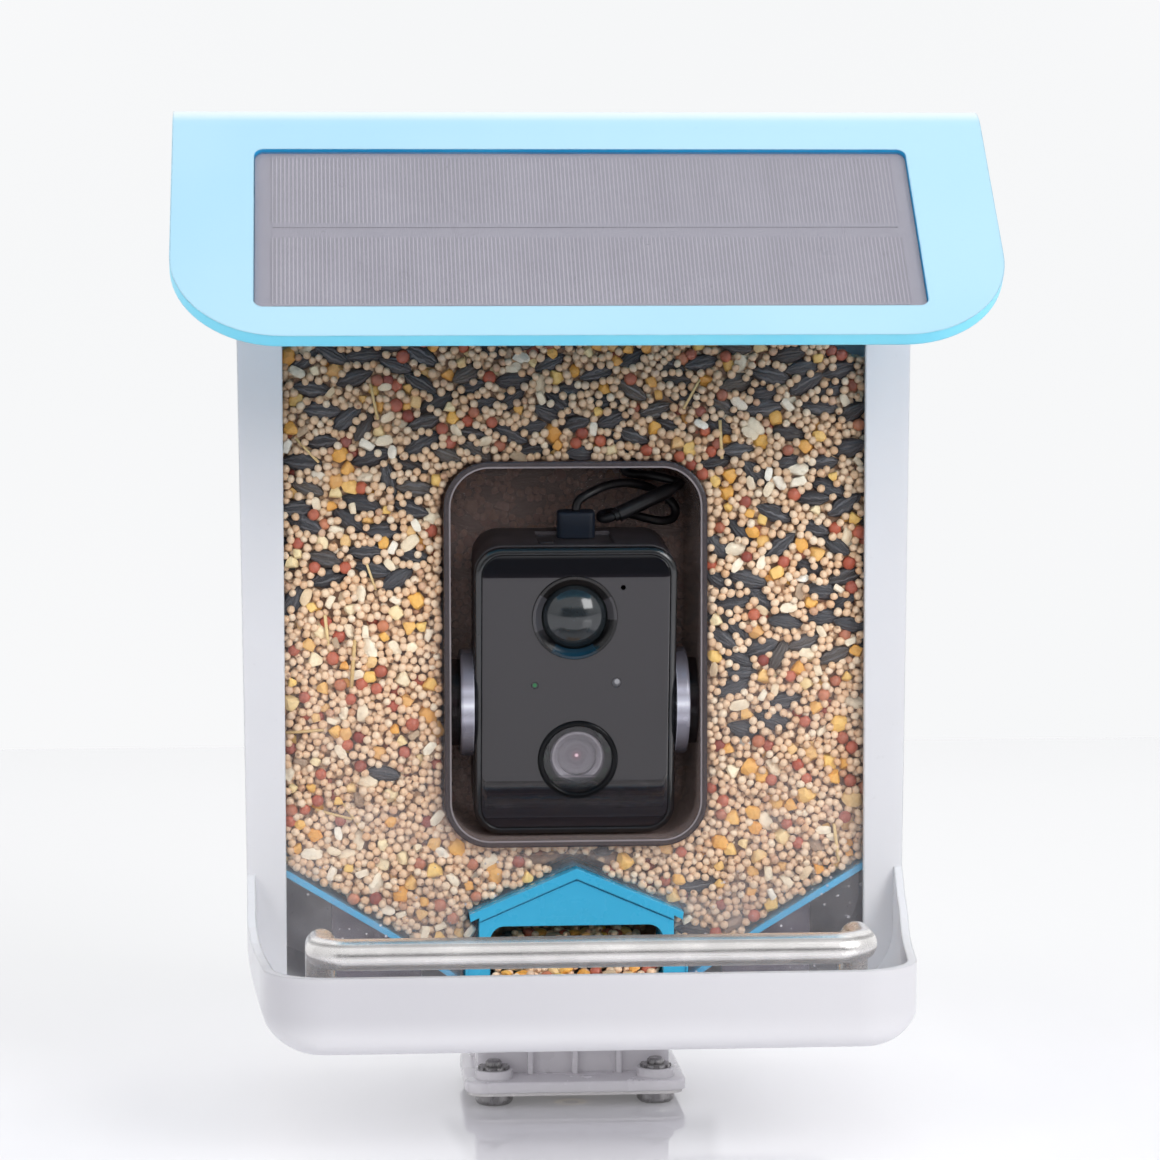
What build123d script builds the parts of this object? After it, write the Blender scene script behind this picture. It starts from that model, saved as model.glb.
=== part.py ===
from build123d import *
import os
from math import sin, cos, tan, atan2, radians, degrees, hypot, pi

os.makedirs("parts", exist_ok=True)

# ---------------------------------------------------------------- driving dimensions (mm)
# Frame: +X right and -Y towards the viewer of the front, +Z up, z = 0 under the four screw heads.
YW = -0.75             # window plane, seen from the origin at the centre of the footprint
WALL = 2.4

BODY_HALF_LOW = 93.75   # half width of the body at the floor
BODY_SLOPE = 0.0108    # widening per mm of height
Z_UNDER = 31.0         # underside of body and tray
Z_FLOOR = 34.0
Y_REAR = 66.8          # inner face of the back panel
PANEL_T = 2.4
FRAME_F, FRAME_B = -1.0, 1.2        # front and back faces of the window frame
WIN_HALF, WIN_TOP = 83.0, 262.0
GLASS_F, GLASS_B = 1.3, 3.3

LIP_Y, LIP_Z, LIP_HALF = -75.0, 52.4, 87.4
CHEEK_Z = 70.0

RIDGE_Y, RIDGE_Z = -12.0, 286.5
EAVE_Y, EAVE_Z = -76.0, 223.4
ROOF_HALF, ROOF_T, ROOF_REAR_Y = 112.6, 3.9, 75.0
REAR_ANGLE = 15.0
CORNER_R = 30.0
PV_W, PV_L, PV_TOP, PV_DEPTH = 180.2, 61.0, 17.9, 2.2

HINGE_Y, HINGE_Z = 74.0, 253.8
PIN_R, KNUCKLE_R, PIN_CLEAR = 1.5, 3.5, 0.04

TUB_HALF, TUB_LOW, TUB_TOP, TUB_R, TUB_DEPTH = 36.9, 76.7, 185.8, 12.4, 54.0
TUB_T = 1.2
RIM_OUT = 0.8

TILT = 8.0             # camera tips forward at rest
AXIS_Y, AXIS_Z = 15.0, 116.3
CAM_W, CAM_H, CAM_R, CAM_DEPTH = 58.0, 84.4, 8.0, 37.0
CAM_FACE, CAM_UP = 12.8, 5.8         # face and centre, from the pivot axis, in the camera's own plane
PIR_X, PIR_UP, LENS_UP, LENS_X = -0.4, 27.7, -14.2, 0.8
LED_X, LED_UP, EYE_X, EYE_UP, MIC_X, MIC_UP = -11.7, 7.9, 11.7, 8.5, 13.4, 36.4

HOOD_APEX, HOOD_EAVE, HOOD_EAVE_HALF = 69.85, 56.5, 30.5
HOOD_HALF, HOOD_OPEN, HOOD_OPEN_TOP = 28.0, 24.9, 53.3
HOOD_F, HOOD_B = -2.0, 22.0

PERCH_R, PERCH_HALF, PERCH_Y, POST_Y, PERCH_Z = 4.3, 73.5, -68.0, -44.0, 57.6
PERCH_BEND = 7.5

PLATE_W, PLATE_D, PLATE_LOW, PLATE_TOP = 64.0, 48.0, 4.4, 7.5
SCREW_X, SCREW_Y1, SCREW_Y2 = 23.5, 8.0, 40.0
HEAD_R, HEAD_H, SHANK_R, TIP_Z = 5.5, 3.4, 2.4, 12.8
THREAD_R = 2.6
PLUG_X, PLUG_D = 1.2, -8.9
BUTTON_X, BUTTON_D, BUTTON_TRAVEL = -7.9, -2.1, 0.8
LEAD_X = 16.0
SEED_TOP = 223.5


def level(z):
    """Horizontal plane at height z; its local y starts at the window plane."""
    return Plane(origin=(0, YW, z))


def upright(y):
    """Plane facing the viewer, y behind the window plane; local x, y are X, Z."""
    return Plane(origin=(0, YW + y, 0), x_dir=(1, 0, 0), z_dir=(0, -1, 0))


def profile(x):
    """Side plane at x, normal +X; local x, y are depth from the window plane and height."""
    return Plane(origin=(x, YW, 0), x_dir=(0, 1, 0), z_dir=(1, 0, 0))


def half(z):
    return BODY_HALF_LOW + BODY_SLOPE * (z - Z_UNDER)


ALPHA = atan2(RIDGE_Z - EAVE_Z, RIDGE_Y - EAVE_Y)
SLOPE_LEN = hypot(RIDGE_Z - EAVE_Z, RIDGE_Y - EAVE_Y)
BETA = radians(REAR_ANGLE)


def slope(d=0.0):
    """Front roof plane, d outside its top face; local y runs up the slope to the ridge at 0."""
    n = (0, -sin(ALPHA), cos(ALPHA))
    return Plane(origin=(0, YW + RIDGE_Y + d * n[1], RIDGE_Z + d * n[2]), x_dir=(1, 0, 0), z_dir=n)


def rear_slope(d=0.0):
    """Rear roof plane, d outside its top face; local y runs back from the ridge."""
    n = (0, sin(BETA), cos(BETA))
    return Plane(origin=(0, YW + RIDGE_Y + d * n[1], RIDGE_Z + d * n[2]), x_dir=(1, 0, 0), z_dir=n)


def camera(d=0.0):
    """Camera plane, d in front of the pivot axis; local y runs up the camera."""
    t = radians(TILT)
    n = (0, -cos(t), -sin(t))
    return Plane(origin=(0, YW + AXIS_Y + d * n[1], AXIS_Z + d * n[2]), x_dir=(1, 0, 0), z_dir=n)


def cam_point(x, up, d):
    t = radians(TILT)
    return (x, YW + AXIS_Y - d * cos(t) - up * sin(t), AXIS_Z - d * sin(t) + up * cos(t))


def rear_top(y, drop):
    """Height of a face lying drop below the rear roof's top face, at depth y."""
    return RIDGE_Z - (y - RIDGE_Y) * tan(BETA) - drop / cos(BETA)


made = []


def keep(shape, name):
    shape.label = name
    export_step(shape, "parts/" + name + ".step")
    made.append(name)


def body_outline(inset, low, high, corner):
    """Front outline of body and tray: sides that widen upwards, rounded lower corners."""
    with BuildSketch() as s:
        with BuildLine():
            Polyline((-half(high) + inset, high), (-half(low) + inset, low), (half(low) - inset, low), (half(high) - inset, high), close=True)
        make_face()
        fillet(s.vertices().group_by(Axis.Y)[0], radius=corner)
    return s.sketch


def tray_plan(inset, back):
    """Plan of the tray: narrows to the lip, round front corners."""
    with BuildSketch() as s:
        with BuildLine():
            Polyline((-100 + inset, back), (-95.4 + inset, 0), (-LIP_HALF + inset, LIP_Y + inset), (LIP_HALF - inset, LIP_Y + inset), (95.4 - inset, 0), (100 - inset, back), close=True)
        make_face()
        fillet(s.vertices().group_by(Axis.Y)[0], radius=18.0 - inset)
    return s.sketch


# ---------------------------------------------------------------- housing
with BuildPart() as tray_block:
    with BuildSketch(upright(0)):
        add(body_outline(0, Z_UNDER, 120, 20))
    extrude(amount=90)
    with BuildSketch(level(0)):
        add(tray_plan(0, 10))
    extrude(amount=120, mode=Mode.INTERSECT)
    with BuildSketch(profile(0)):
        with BuildLine():
            Polyline((0, 0), (0, CHEEK_Z), (-3, 67.5), (-8, 61.5), (-15, 56.5), (-24, 53.4), (-34, LIP_Z), (LIP_Y - 5, LIP_Z), (LIP_Y - 5, 0), close=True)
        make_face()
    extrude(amount=200, both=True, mode=Mode.INTERSECT)
    fillet(tray_block.edges().filter_by(lambda e: e.center().Y < YW + LIP_Y + 20 and e.center().Z < Z_UNDER + 1.5 and abs(e.center().X) < 70), radius=5)

with BuildPart() as tray_hollow:
    with BuildSketch(upright(FRAME_F)):
        add(body_outline(WALL, Z_FLOOR, 120, 17.6))
    extrude(amount=90)
    with BuildSketch(level(0)):
        add(tray_plan(WALL, 10))
    extrude(amount=120, mode=Mode.INTERSECT)

with BuildPart() as housing:
    with BuildSketch(upright(Y_REAR)):
        add(body_outline(0, Z_UNDER, 290, 20))
    extrude(amount=Y_REAR - FRAME_F)
    add(tray_block.part)
    # hopper space, open at the back, and the window opening through the frame
    with BuildSketch(upright(Y_REAR + 1)):
        add(body_outline(WALL, Z_FLOOR, 300, 17.6))
    extrude(amount=Y_REAR + 1 - FRAME_B, mode=Mode.SUBTRACT)
    with BuildSketch(upright(5)):
        with BuildLine():
            Polyline((-WIN_HALF, 90), (-WIN_HALF, WIN_TOP), (WIN_HALF, WIN_TOP), (WIN_HALF, 90), (WIN_HALF, Z_FLOOR), (-WIN_HALF, Z_FLOOR), close=True)
        make_face()
    extrude(amount=10, mode=Mode.SUBTRACT)
    add(tray_hollow.part, mode=Mode.SUBTRACT)
    # screw bosses for the back panel, grown from the side walls
    for z in (64, 150, 236):
        for s in (-1, 1):
            x = s * (half(z) - 6.4)
            with BuildSketch(upright(Y_REAR)):
                with Locations((x, z)):
                    Circle(3.6)
                with Locations((x + s * 2.6, z)):
                    Rectangle(5.2, 7.2)
            extrude(amount=12)
            with BuildSketch(upright(Y_REAR + 0.01)):
                with Locations((x, z)):
                    Circle(1.35)
            extrude(amount=10, mode=Mode.SUBTRACT)
    # roof line
    with BuildSketch(profile(0)):
        with BuildLine():
            Polyline((-40, rear_top(-40, ROOF_T + 1.3)), (90, rear_top(90, ROOF_T + 1.3)), (90, 340), (-40, 340), close=True)
        make_face()
    extrude(amount=200, both=True, mode=Mode.SUBTRACT)
    # notch in the top rail for the roof lead
    with BuildSketch(upright(8)):
        with Locations((LEAD_X, 279)):
            Rectangle(5, 10)
    extrude(amount=12, mode=Mode.SUBTRACT)
    # sockets for the perch legs, and their screws' countersunk holes
    with BuildSketch(level(Z_FLOOR - 0.5)):
        with Locations((-PERCH_HALF, POST_Y), (PERCH_HALF, POST_Y)):
            Circle(7.2)
    extrude(amount=7)
    with BuildSketch(level(Z_FLOOR + 0.2)):
        with Locations((-PERCH_HALF, POST_Y), (PERCH_HALF, POST_Y)):
            Circle(PERCH_R + 0.05)
    extrude(amount=20, mode=Mode.SUBTRACT)
    with Locations((-PERCH_HALF, YW + POST_Y, Z_UNDER), (PERCH_HALF, YW + POST_Y, Z_UNDER)):
        Cone(3.4, 1.65, 1.7, align=(Align.CENTER, Align.CENTER, Align.MIN), mode=Mode.SUBTRACT)
        Cylinder(1.65, 12, mode=Mode.SUBTRACT)
    # holes for the bracket's screws
    with Locations(*[(x, YW + y, Z_UNDER) for x in (-22, 22) for y in (17.5, 30.5)]):
        Cylinder(1.6, 12, mode=Mode.SUBTRACT)
keep(housing.part, "housing")

# ---------------------------------------------------------------- back panel and its screws
with BuildPart() as back_panel:
    with BuildSketch(upright(Y_REAR + PANEL_T)):
        add(body_outline(0, Z_UNDER, 290, 20))
    extrude(amount=PANEL_T)
    # locating rib just inside the side walls, at the foot
    with BuildSketch(upright(Y_REAR)):
        with Locations((0, Z_FLOOR + 2.2)):
            Rectangle(56, 3)
    extrude(amount=2.5)
    with BuildSketch(profile(0)):
        with BuildLine():
            Polyline((-40, rear_top(-40, ROOF_T + 1.3)), (90, rear_top(90, ROOF_T + 1.3)), (90, 340), (-40, 340), close=True)
        make_face()
    extrude(amount=200, both=True, mode=Mode.SUBTRACT)
    for z in (64, 150, 236):
        with Locations((half(z) - 6.4, YW + Y_REAR, z), (-half(z) + 6.4, YW + Y_REAR, z)):
            Cylinder(1.6, 12, rotation=(90, 0, 0), mode=Mode.SUBTRACT)
    # outer hinge knuckles
    for s in (-1, 1):
        with BuildSketch(profile(s * 52.5)):
            with Locations((HINGE_Y, HINGE_Z)):
                Circle(KNUCKLE_R)
            with BuildLine():
                Polyline((Y_REAR + 1, HINGE_Z - 9), (Y_REAR + PANEL_T + 0.5, HINGE_Z - 9), (HINGE_Y + 2.0, HINGE_Z - 2.87), (HINGE_Y, HINGE_Z + 3.45), (Y_REAR + 1, HINGE_Z + 3.45), close=True)
            make_face()
        extrude(amount=7.5, both=True)
    with Locations((0, YW + HINGE_Y, HINGE_Z)):
        Cylinder(PIN_R + 0.02, 130, rotation=(0, 90, 0), mode=Mode.SUBTRACT)
    # notch for the lead at the top edge
    with BuildSketch(upright(Y_REAR + 5)):
        with Locations((16, 262)):
            Rectangle(5, 15)
    extrude(amount=8, mode=Mode.SUBTRACT)
keep(back_panel.part, "back_panel")

with BuildPart() as back_panel_screws:
    for z in (64, 150, 236):
        for s in (-1, 1):
            x = s * (half(z) - 6.4)
            with BuildSketch(upright(Y_REAR + PANEL_T)):
                with Locations((x, z)):
                    Circle(1.3)
            extrude(amount=11)
            with BuildSketch(upright(Y_REAR + PANEL_T)):
                with Locations((x, z)):
                    Circle(2.8)
            extrude(amount=-1.8)
            with BuildSketch(upright(Y_REAR + PANEL_T + 1.8)):
                with Locations((x, z)):
                    Rectangle(3.6, 0.7)
                    Rectangle(0.7, 3.6)
            extrude(amount=0.9, mode=Mode.SUBTRACT)
keep(back_panel_screws.part, "back_panel_screws")

# ---------------------------------------------------------------- camera pocket
TUB_MID = (TUB_LOW + TUB_TOP) / 2
TUB_H = TUB_TOP - TUB_LOW
GROMMET_X, GROMMET_Y = LEAD_X, 30.0

with BuildPart() as tub_space:
    with BuildSketch(upright(-5)):
        with Locations((0, TUB_MID)):
            RectangleRounded(2 * (TUB_HALF - TUB_T), TUB_H - 2 * TUB_T, TUB_R - TUB_T)
    extrude(amount=-(TUB_DEPTH + 5 - TUB_T))
    fillet(tub_space.faces().sort_by(Axis.Y)[-1].edges(), radius=4.8)

with BuildPart() as camera_tub:
    with BuildSketch(upright(FRAME_B - 0.05)):
        with Locations((0, TUB_MID)):
            RectangleRounded(2 * TUB_HALF, TUB_H, TUB_R)
    extrude(amount=-(TUB_DEPTH - FRAME_B))
    fillet(camera_tub.faces().sort_by(Axis.Y)[-1].edges(), radius=6)
    with BuildSketch(upright(FRAME_B - 0.05)):
        with Locations((0, TUB_MID)):
            RectangleRounded(2 * (TUB_HALF + RIM_OUT), TUB_H + 2 * RIM_OUT, TUB_R + RIM_OUT)
    extrude(amount=2.0)
    fillet(camera_tub.faces().sort_by(Axis.Y)[0].edges(), radius=0.6)
    add(tub_space.part, mode=Mode.SUBTRACT)
    # snap tabs that hold the sheet between them and the rim
    with Locations(*[(s * (TUB_HALF + 0.2), YW + GLASS_B + 1.4, TUB_MID + dz) for s in (-1, 1) for dz in (-30, 30)]):
        Box(1.1, 2.2, 8)
    # trunnion holes and the lead's hole
    with Locations((0, YW + AXIS_Y, AXIS_Z)):
        Cylinder(4.1, 100, rotation=(0, 90, 0), mode=Mode.SUBTRACT)
    with Locations((GROMMET_X, YW + GROMMET_Y, TUB_TOP)):
        Cylinder(3.5, 12, mode=Mode.SUBTRACT)
keep(camera_tub.part, "camera_tub")

with BuildPart() as tub_pivot_bosses:
    for s in (-1, 1):
        with BuildSketch(profile(s * 33.05)):
            with Locations((AXIS_Y, AXIS_Z)):
                Circle(12.5)
                Circle(4.1, mode=Mode.SUBTRACT)
        extrude(amount=s * 2.5)
        with BuildSketch(profile(s * 33.05)):
            with Locations((AXIS_Y, AXIS_Z)):
                Circle(9.0)
                Circle(6.4, mode=Mode.SUBTRACT)
        extrude(amount=s * 0.6, mode=Mode.SUBTRACT)
keep(tub_pivot_bosses.part, "tub_pivot_bosses")

with BuildPart() as tub_grommet:
    with Locations((GROMMET_X, YW + GROMMET_Y, TUB_TOP - 0.9)):
        Cylinder(3.4, 3.4)
        with Locations((0, 0, 1.52)):
            Cylinder(4.6, 1.1)
        Cylinder(1.9, 20, mode=Mode.SUBTRACT)
keep(tub_grommet.part, "tub_grommet")

# ---------------------------------------------------------------- outlet hood
def hood_face(grow, low):
    with BuildSketch() as s:
        with BuildLine():
            Polyline(
                (-HOOD_HALF - grow, low), (-HOOD_HALF - grow, HOOD_EAVE - 0.6 - grow * 0.5), (-HOOD_EAVE_HALF - grow, HOOD_EAVE - 1.8 - grow),
                (-HOOD_EAVE_HALF - 0.3 - grow, HOOD_EAVE + 0.4), (0, HOOD_APEX + grow * 1.1), (HOOD_EAVE_HALF + 0.3 + grow, HOOD_EAVE + 0.4),
                (HOOD_EAVE_HALF + grow, HOOD_EAVE - 1.8 - grow), (HOOD_HALF + grow, HOOD_EAVE - 0.6 - grow * 0.5), (HOOD_HALF + grow, low), close=True)
        make_face()
    return s.sketch


with BuildPart() as outlet_hood:
    with BuildSketch(upright(HOOD_B)):
        add(hood_face(0, Z_FLOOR + 0.05))
        with Locations((0, (41.6 + Z_FLOOR) / 2)):
            Rectangle(64.0, 41.6 - Z_FLOOR - 0.1)
    extrude(amount=HOOD_B - HOOD_F)
    with BuildSketch(upright(HOOD_B + 1)):
        with Locations((0, HOOD_OPEN_TOP - 15)):
            RectangleRounded(2 * HOOD_OPEN, 30, 4.2)
        with Locations((0, 36)):
            Rectangle(2 * HOOD_OPEN, 12)
    extrude(amount=HOOD_B - HOOD_F + 2, mode=Mode.SUBTRACT)
    # front of the gable set back behind its roof strip, with a groove under the strip
    for lift, low, deep in ((3.05, None, 0.6), (3.05, 0.4, 1.2)):
        with BuildSketch(upright(HOOD_F + deep)):
            with BuildLine():
                if low is None:
                    Polyline((-31.5, 20), (-31.5, HOOD_EAVE - 0.2 - lift), (0, HOOD_APEX - lift), (31.5, HOOD_EAVE - 0.2 - lift), (31.5, 20), close=True)
                else:
                    Polyline((-31.5, HOOD_EAVE - 0.2 - lift), (0, HOOD_APEX - lift), (31.5, HOOD_EAVE - 0.2 - lift), (31.5, HOOD_EAVE - 0.2 - lift - low), (0, HOOD_APEX - lift - low), (-31.5, HOOD_EAVE - 0.2 - lift - low), close=True)
            make_face()
        extrude(amount=5, mode=Mode.SUBTRACT)
    fillet(outlet_hood.edges().filter_by(Axis.Y).sort_by(Axis.Z)[-1], radius=1.0)
keep(outlet_hood.part, "outlet_hood")

# ---------------------------------------------------------------- clear sheet
with BuildPart() as front_window:
    with BuildSketch(upright(GLASS_B)):
        with BuildLine():
            Polyline((-half(266) + WALL + 0.5, 266), (-half(62) + WALL + 0.5, 62), (-85.5, 44), (-80, 35.2), (80, 35.2), (85.5, 44), (half(62) - WALL - 0.5, 62), (half(266) - WALL - 0.5, 266), close=True)
        make_face()
        with Locations((0, TUB_MID)):
            RectangleRounded(2 * TUB_HALF + 0.3, TUB_H + 0.3, TUB_R, mode=Mode.SUBTRACT)
        add(hood_face(0.35, 20), mode=Mode.SUBTRACT)
        with Locations((0, 34)):
            Rectangle(65, 16.2, mode=Mode.SUBTRACT)
    extrude(amount=GLASS_B - GLASS_F)
keep(front_window.part, "front_window")

with BuildPart() as window_retainers:
    for s in (-1, 1):
        with BuildSketch(upright(GLASS_B + 2.2)):
            with BuildLine():
                Polyline((s * 84.2, 76), (s * (half(76) - WALL - 0.2), 76), (s * (half(262) - WALL - 0.2), 262), (s * 84.2, 262), close=True)
            make_face()
        extrude(amount=2.1)
keep(window_retainers.part, "window_retainers")

# ---------------------------------------------------------------- funnel plates
def funnel(s):
    outer = half(74) - WALL - 0.4
    with BuildPart() as plate:
        with BuildSketch(upright(Y_REAR - 0.4)):
            with BuildLine():
                Polyline(
                    (s * outer, 74.0), (s * 82.4, 69.3), (s * 53.0, 51.4), (s * 36.5, 40.0), (s * 33.2, 37.6),
                    (s * 33.2, 35.6), (s * 37.5, 38.6), (s * 53.6, 49.7), (s * 83.2, 67.6), (s * outer, 72.2), close=True)
            make_face()
        extrude(amount=Y_REAR - 0.4 - GLASS_B - 0.3)
        for y in (20, 48):
            with BuildSketch(upright(y)):
                with BuildLine():
                    Polyline((s * 70, Z_FLOOR + 0.6), (s * 70, 60.2), (s * 53.4, 50.5), (s * 44.0, 44.0), (s * 44.0, Z_FLOOR + 0.1), (s * 69, Z_FLOOR + 0.1), close=True)
                make_face()
            extrude(amount=1.6)
    return plate.part


keep(funnel(-1), "left_funnel_plate")
keep(funnel(1), "right_funnel_plate")

# ---------------------------------------------------------------- cable duct on the back panel
DUCT_Z0, DUCT_Z1 = 208.0, 254.0
with BuildPart() as cable_duct:
    with BuildSketch(level(DUCT_Z0)):
        with Locations((GROMMET_X, Y_REAR - 3.4)):
            Rectangle(9.0, 6.6)
        with Locations((GROMMET_X, Y_REAR - 3.0)):
            Rectangle(6.2, 5.0, mode=Mode.SUBTRACT)
        with Locations((GROMMET_X, Y_REAR - 6.6)):
            Rectangle(2.0, 3.0, mode=Mode.SUBTRACT)
    extrude(amount=DUCT_Z1 - DUCT_Z0)
keep(cable_duct.part, "cable_duct")

# ---------------------------------------------------------------- seeds in the hopper
with BuildPart() as seed_fill:
    with BuildSketch(upright(Y_REAR - 0.6)):
        with BuildLine():
            Polyline(
                (-83.6, SEED_TOP - 5.0), (-83.6, 71.0), (-53.0, 52.3), (-36.5, 40.9), (-33.0, 38.4), (33.0, 38.4), (36.5, 40.9), (53.0, 52.3), (83.6, 71.0), (83.6, SEED_TOP - 7.5),
                (70, SEED_TOP - 2.5), (56, SEED_TOP), (-66, SEED_TOP), (-76, SEED_TOP - 2.2), close=True)
        make_face()
    extrude(amount=Y_REAR - 0.6 - GLASS_B - 0.4)
    for s in (-1, 1):
        with BuildSketch(upright(54)):
            with BuildLine():
                Polyline((s * 83.6, SEED_TOP - 7.6), (s * 83.6, 71.0), (s * 90.2, 75.2), (s * 91.6, 120), (s * 93.2, SEED_TOP - 9.5), close=True)
            make_face()
        extrude(amount=47.5)
    with BuildSketch(upright(0)):
        with Locations((0, TUB_MID)):
            RectangleRounded(2 * TUB_HALF + 2.2, TUB_H + 1.0, TUB_R)
    extrude(amount=-TUB_DEPTH - 0.8, mode=Mode.SUBTRACT)
    with BuildSketch(upright(HOOD_B + 0.6)):
        add(hood_face(0.6, 20))
        with Locations((0, 35)):
            Rectangle(65.5, 14.5)
    extrude(amount=40, mode=Mode.SUBTRACT)
    with Locations((GROMMET_X, YW + Y_REAR - 3.4, 220)):
        Box(10.4, 9.0, 80, mode=Mode.SUBTRACT)
    # clear path of the lead between the pocket's top and the duct
    with Locations((GROMMET_X, YW + 46, 194)):
        Box(11, 44, 24, mode=Mode.SUBTRACT)
    with Locations((GROMMET_X, YW + 28.5, 191.5)):
        Box(11, 13, 13, mode=Mode.SUBTRACT)
keep(seed_fill.part, "seed_fill")

# ---------------------------------------------------------------- perch
with BuildPart() as perch_bar:
    with BuildLine() as perch_line:
        FilletPolyline(
            (-PERCH_HALF, YW + POST_Y, Z_FLOOR + 0.3), (-PERCH_HALF, YW + POST_Y, PERCH_Z), (-PERCH_HALF, YW + PERCH_Y, PERCH_Z),
            (PERCH_HALF, YW + PERCH_Y, PERCH_Z), (PERCH_HALF, YW + POST_Y, PERCH_Z), (PERCH_HALF, YW + POST_Y, Z_FLOOR + 0.3), radius=PERCH_BEND)
    with BuildSketch(Plane(origin=(-PERCH_HALF, YW + POST_Y, Z_FLOOR + 0.3))):
        Circle(PERCH_R)
    sweep(path=perch_line.wires()[0])
    with Locations((-PERCH_HALF, YW + POST_Y, Z_FLOOR + 5), (PERCH_HALF, YW + POST_Y, Z_FLOOR + 5)):
        Cylinder(1.55, 14, mode=Mode.SUBTRACT)
keep(perch_bar.part, "perch_bar")

with BuildPart() as perch_screws:
    for s in (-1, 1):
        with Locations((s * PERCH_HALF, YW + POST_Y, Z_UNDER + 0.05)):
            Cone(3.3, 1.5, 1.6, align=(Align.CENTER, Align.CENTER, Align.MIN))
            Cylinder(1.5, 13.5, align=(Align.CENTER, Align.CENTER, Align.MIN))
            Box(3.2, 0.7, 1.6, mode=Mode.SUBTRACT)
keep(perch_screws.part, "perch_screws")

# ---------------------------------------------------------------- base bracket
MID_Y = (SCREW_Y1 + SCREW_Y2) / 2
with BuildPart() as mount_bracket:
    with BuildSketch(level(PLATE_LOW)):
        with Locations((0, MID_Y)):
            RectangleRounded(PLATE_W, PLATE_D, 6)
    extrude(amount=PLATE_TOP - PLATE_LOW)
    fillet(mount_bracket.edges().group_by(Axis.Z)[-1], radius=0.8)
    with BuildSketch(level(PLATE_TOP - 0.5)):
        with Locations(*[(x, y) for x in (-SCREW_X, SCREW_X) for y in (SCREW_Y1, SCREW_Y2)]):
            Circle(5.4)
    extrude(amount=3.1)
    # hollow ribbed hub
    with BuildSketch(level(PLATE_TOP - 0.5)):
        with Locations((0, MID_Y)):
            Rectangle(56, 19.6)
            Rectangle(51.6, 15.2, mode=Mode.SUBTRACT)
            Rectangle(2.0, 18)
    extrude(amount=Z_UNDER - PLATE_TOP + 0.5)
    with BuildSketch(level(PLATE_TOP - 0.5)):
        with Locations(*[(x, MID_Y + s * 10.9) for x in (-12.6, 0.4, 13.2) for s in (-1, 1)]):
            Rectangle(1.6, 2.6)
    extrude(amount=Z_UNDER - PLATE_TOP + 0.5 - 0.4)
    # bosses: four for the screws from the floor above, one for the brass thread
    with BuildSketch(level(PLATE_TOP - 0.5)):
        with Locations(*[(x, y) for x in (-22, 22) for y in (17.5, 30.5)]):
            Circle(3.2)
    extrude(amount=Z_UNDER - PLATE_TOP + 0.5)
    with Locations((0, YW + MID_Y, PLATE_LOW)):
        Cylinder(7.4, 14, align=(Align.CENTER, Align.CENTER, Align.MIN))
    with Locations((0, YW + MID_Y, PLATE_LOW)):
        Cylinder(5.0, 12.0, align=(Align.CENTER, Align.CENTER, Align.MIN), mode=Mode.SUBTRACT)
    with Locations(*[(x, YW + y, 16) for x in (-SCREW_X, SCREW_X) for y in (SCREW_Y1, SCREW_Y2)]):
        Cylinder(SHANK_R + 0.1, 40, mode=Mode.SUBTRACT)
    with Locations(*[(x, YW + y, Z_UNDER) for x in (-22, 22) for y in (17.5, 30.5)]):
        Cylinder(1.3, 22, mode=Mode.SUBTRACT)
keep(mount_bracket.part, "mount_bracket")

with BuildPart() as mount_pad:
    with BuildSketch(level(HEAD_H)):
        with Locations((0, MID_Y)):
            RectangleRounded(PLATE_W - 1.6, PLATE_D - 1.6, 5.4)
        with Locations(*[(x, y) for x in (-SCREW_X, SCREW_X) for y in (SCREW_Y1, SCREW_Y2)]):
            Circle(SHANK_R + 0.1, mode=Mode.SUBTRACT)
        with Locations((0, MID_Y)):
            Circle(5.2, mode=Mode.SUBTRACT)
    extrude(amount=PLATE_LOW - HEAD_H)
keep(mount_pad.part, "mount_pad")

with BuildPart() as mount_screws:
    for x in (-SCREW_X, SCREW_X):
        for y in (SCREW_Y1, SCREW_Y2):
            with Locations((x, YW + y, 0)):
                Cylinder(HEAD_R, HEAD_H, align=(Align.CENTER, Align.CENTER, Align.MIN))
    fillet(mount_screws.edges().group_by(Axis.Z)[0], radius=1.6)
    for x in (-SCREW_X, SCREW_X):
        for y in (SCREW_Y1, SCREW_Y2):
            with Locations((x, YW + y, HEAD_H)):
                Cylinder(SHANK_R, TIP_Z - HEAD_H, align=(Align.CENTER, Align.CENTER, Align.MIN))
            with Locations((x, YW + y, 0)):
                Box(5.2, 1.0, 3.0, mode=Mode.SUBTRACT)
                Box(1.0, 5.2, 3.0, mode=Mode.SUBTRACT)
    chamfer(mount_screws.edges().group_by(Axis.Z)[-1], length=0.6)
keep(mount_screws.part, "mount_screws")

WASHER_Z = PLATE_TOP - 0.5 + 3.1
with BuildPart() as lock_washers:
    for x in (-SCREW_X, SCREW_X):
        for y in (SCREW_Y1, SCREW_Y2):
            with BuildSketch(level(WASHER_Z + 0.02)):
                with Locations((x, y)):
                    Circle(3.9)
                    with PolarLocations(4.0, 10):
                        Rectangle(1.1, 1.3)
                with Locations((x, y)):
                    Circle(SHANK_R + 0.12, mode=Mode.SUBTRACT)
            extrude(amount=0.9)
keep(lock_washers.part, "lock_washers")

with BuildPart() as thread_insert:
    with Locations((0, YW + MID_Y, HEAD_H + 0.2)):
        Cylinder(4.97, PLATE_LOW + 11.8 - HEAD_H - 0.2, align=(Align.CENTER, Align.CENTER, Align.MIN))
        Cylinder(THREAD_R, 60, mode=Mode.SUBTRACT)
keep(thread_insert.part, "thread_insert")

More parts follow.
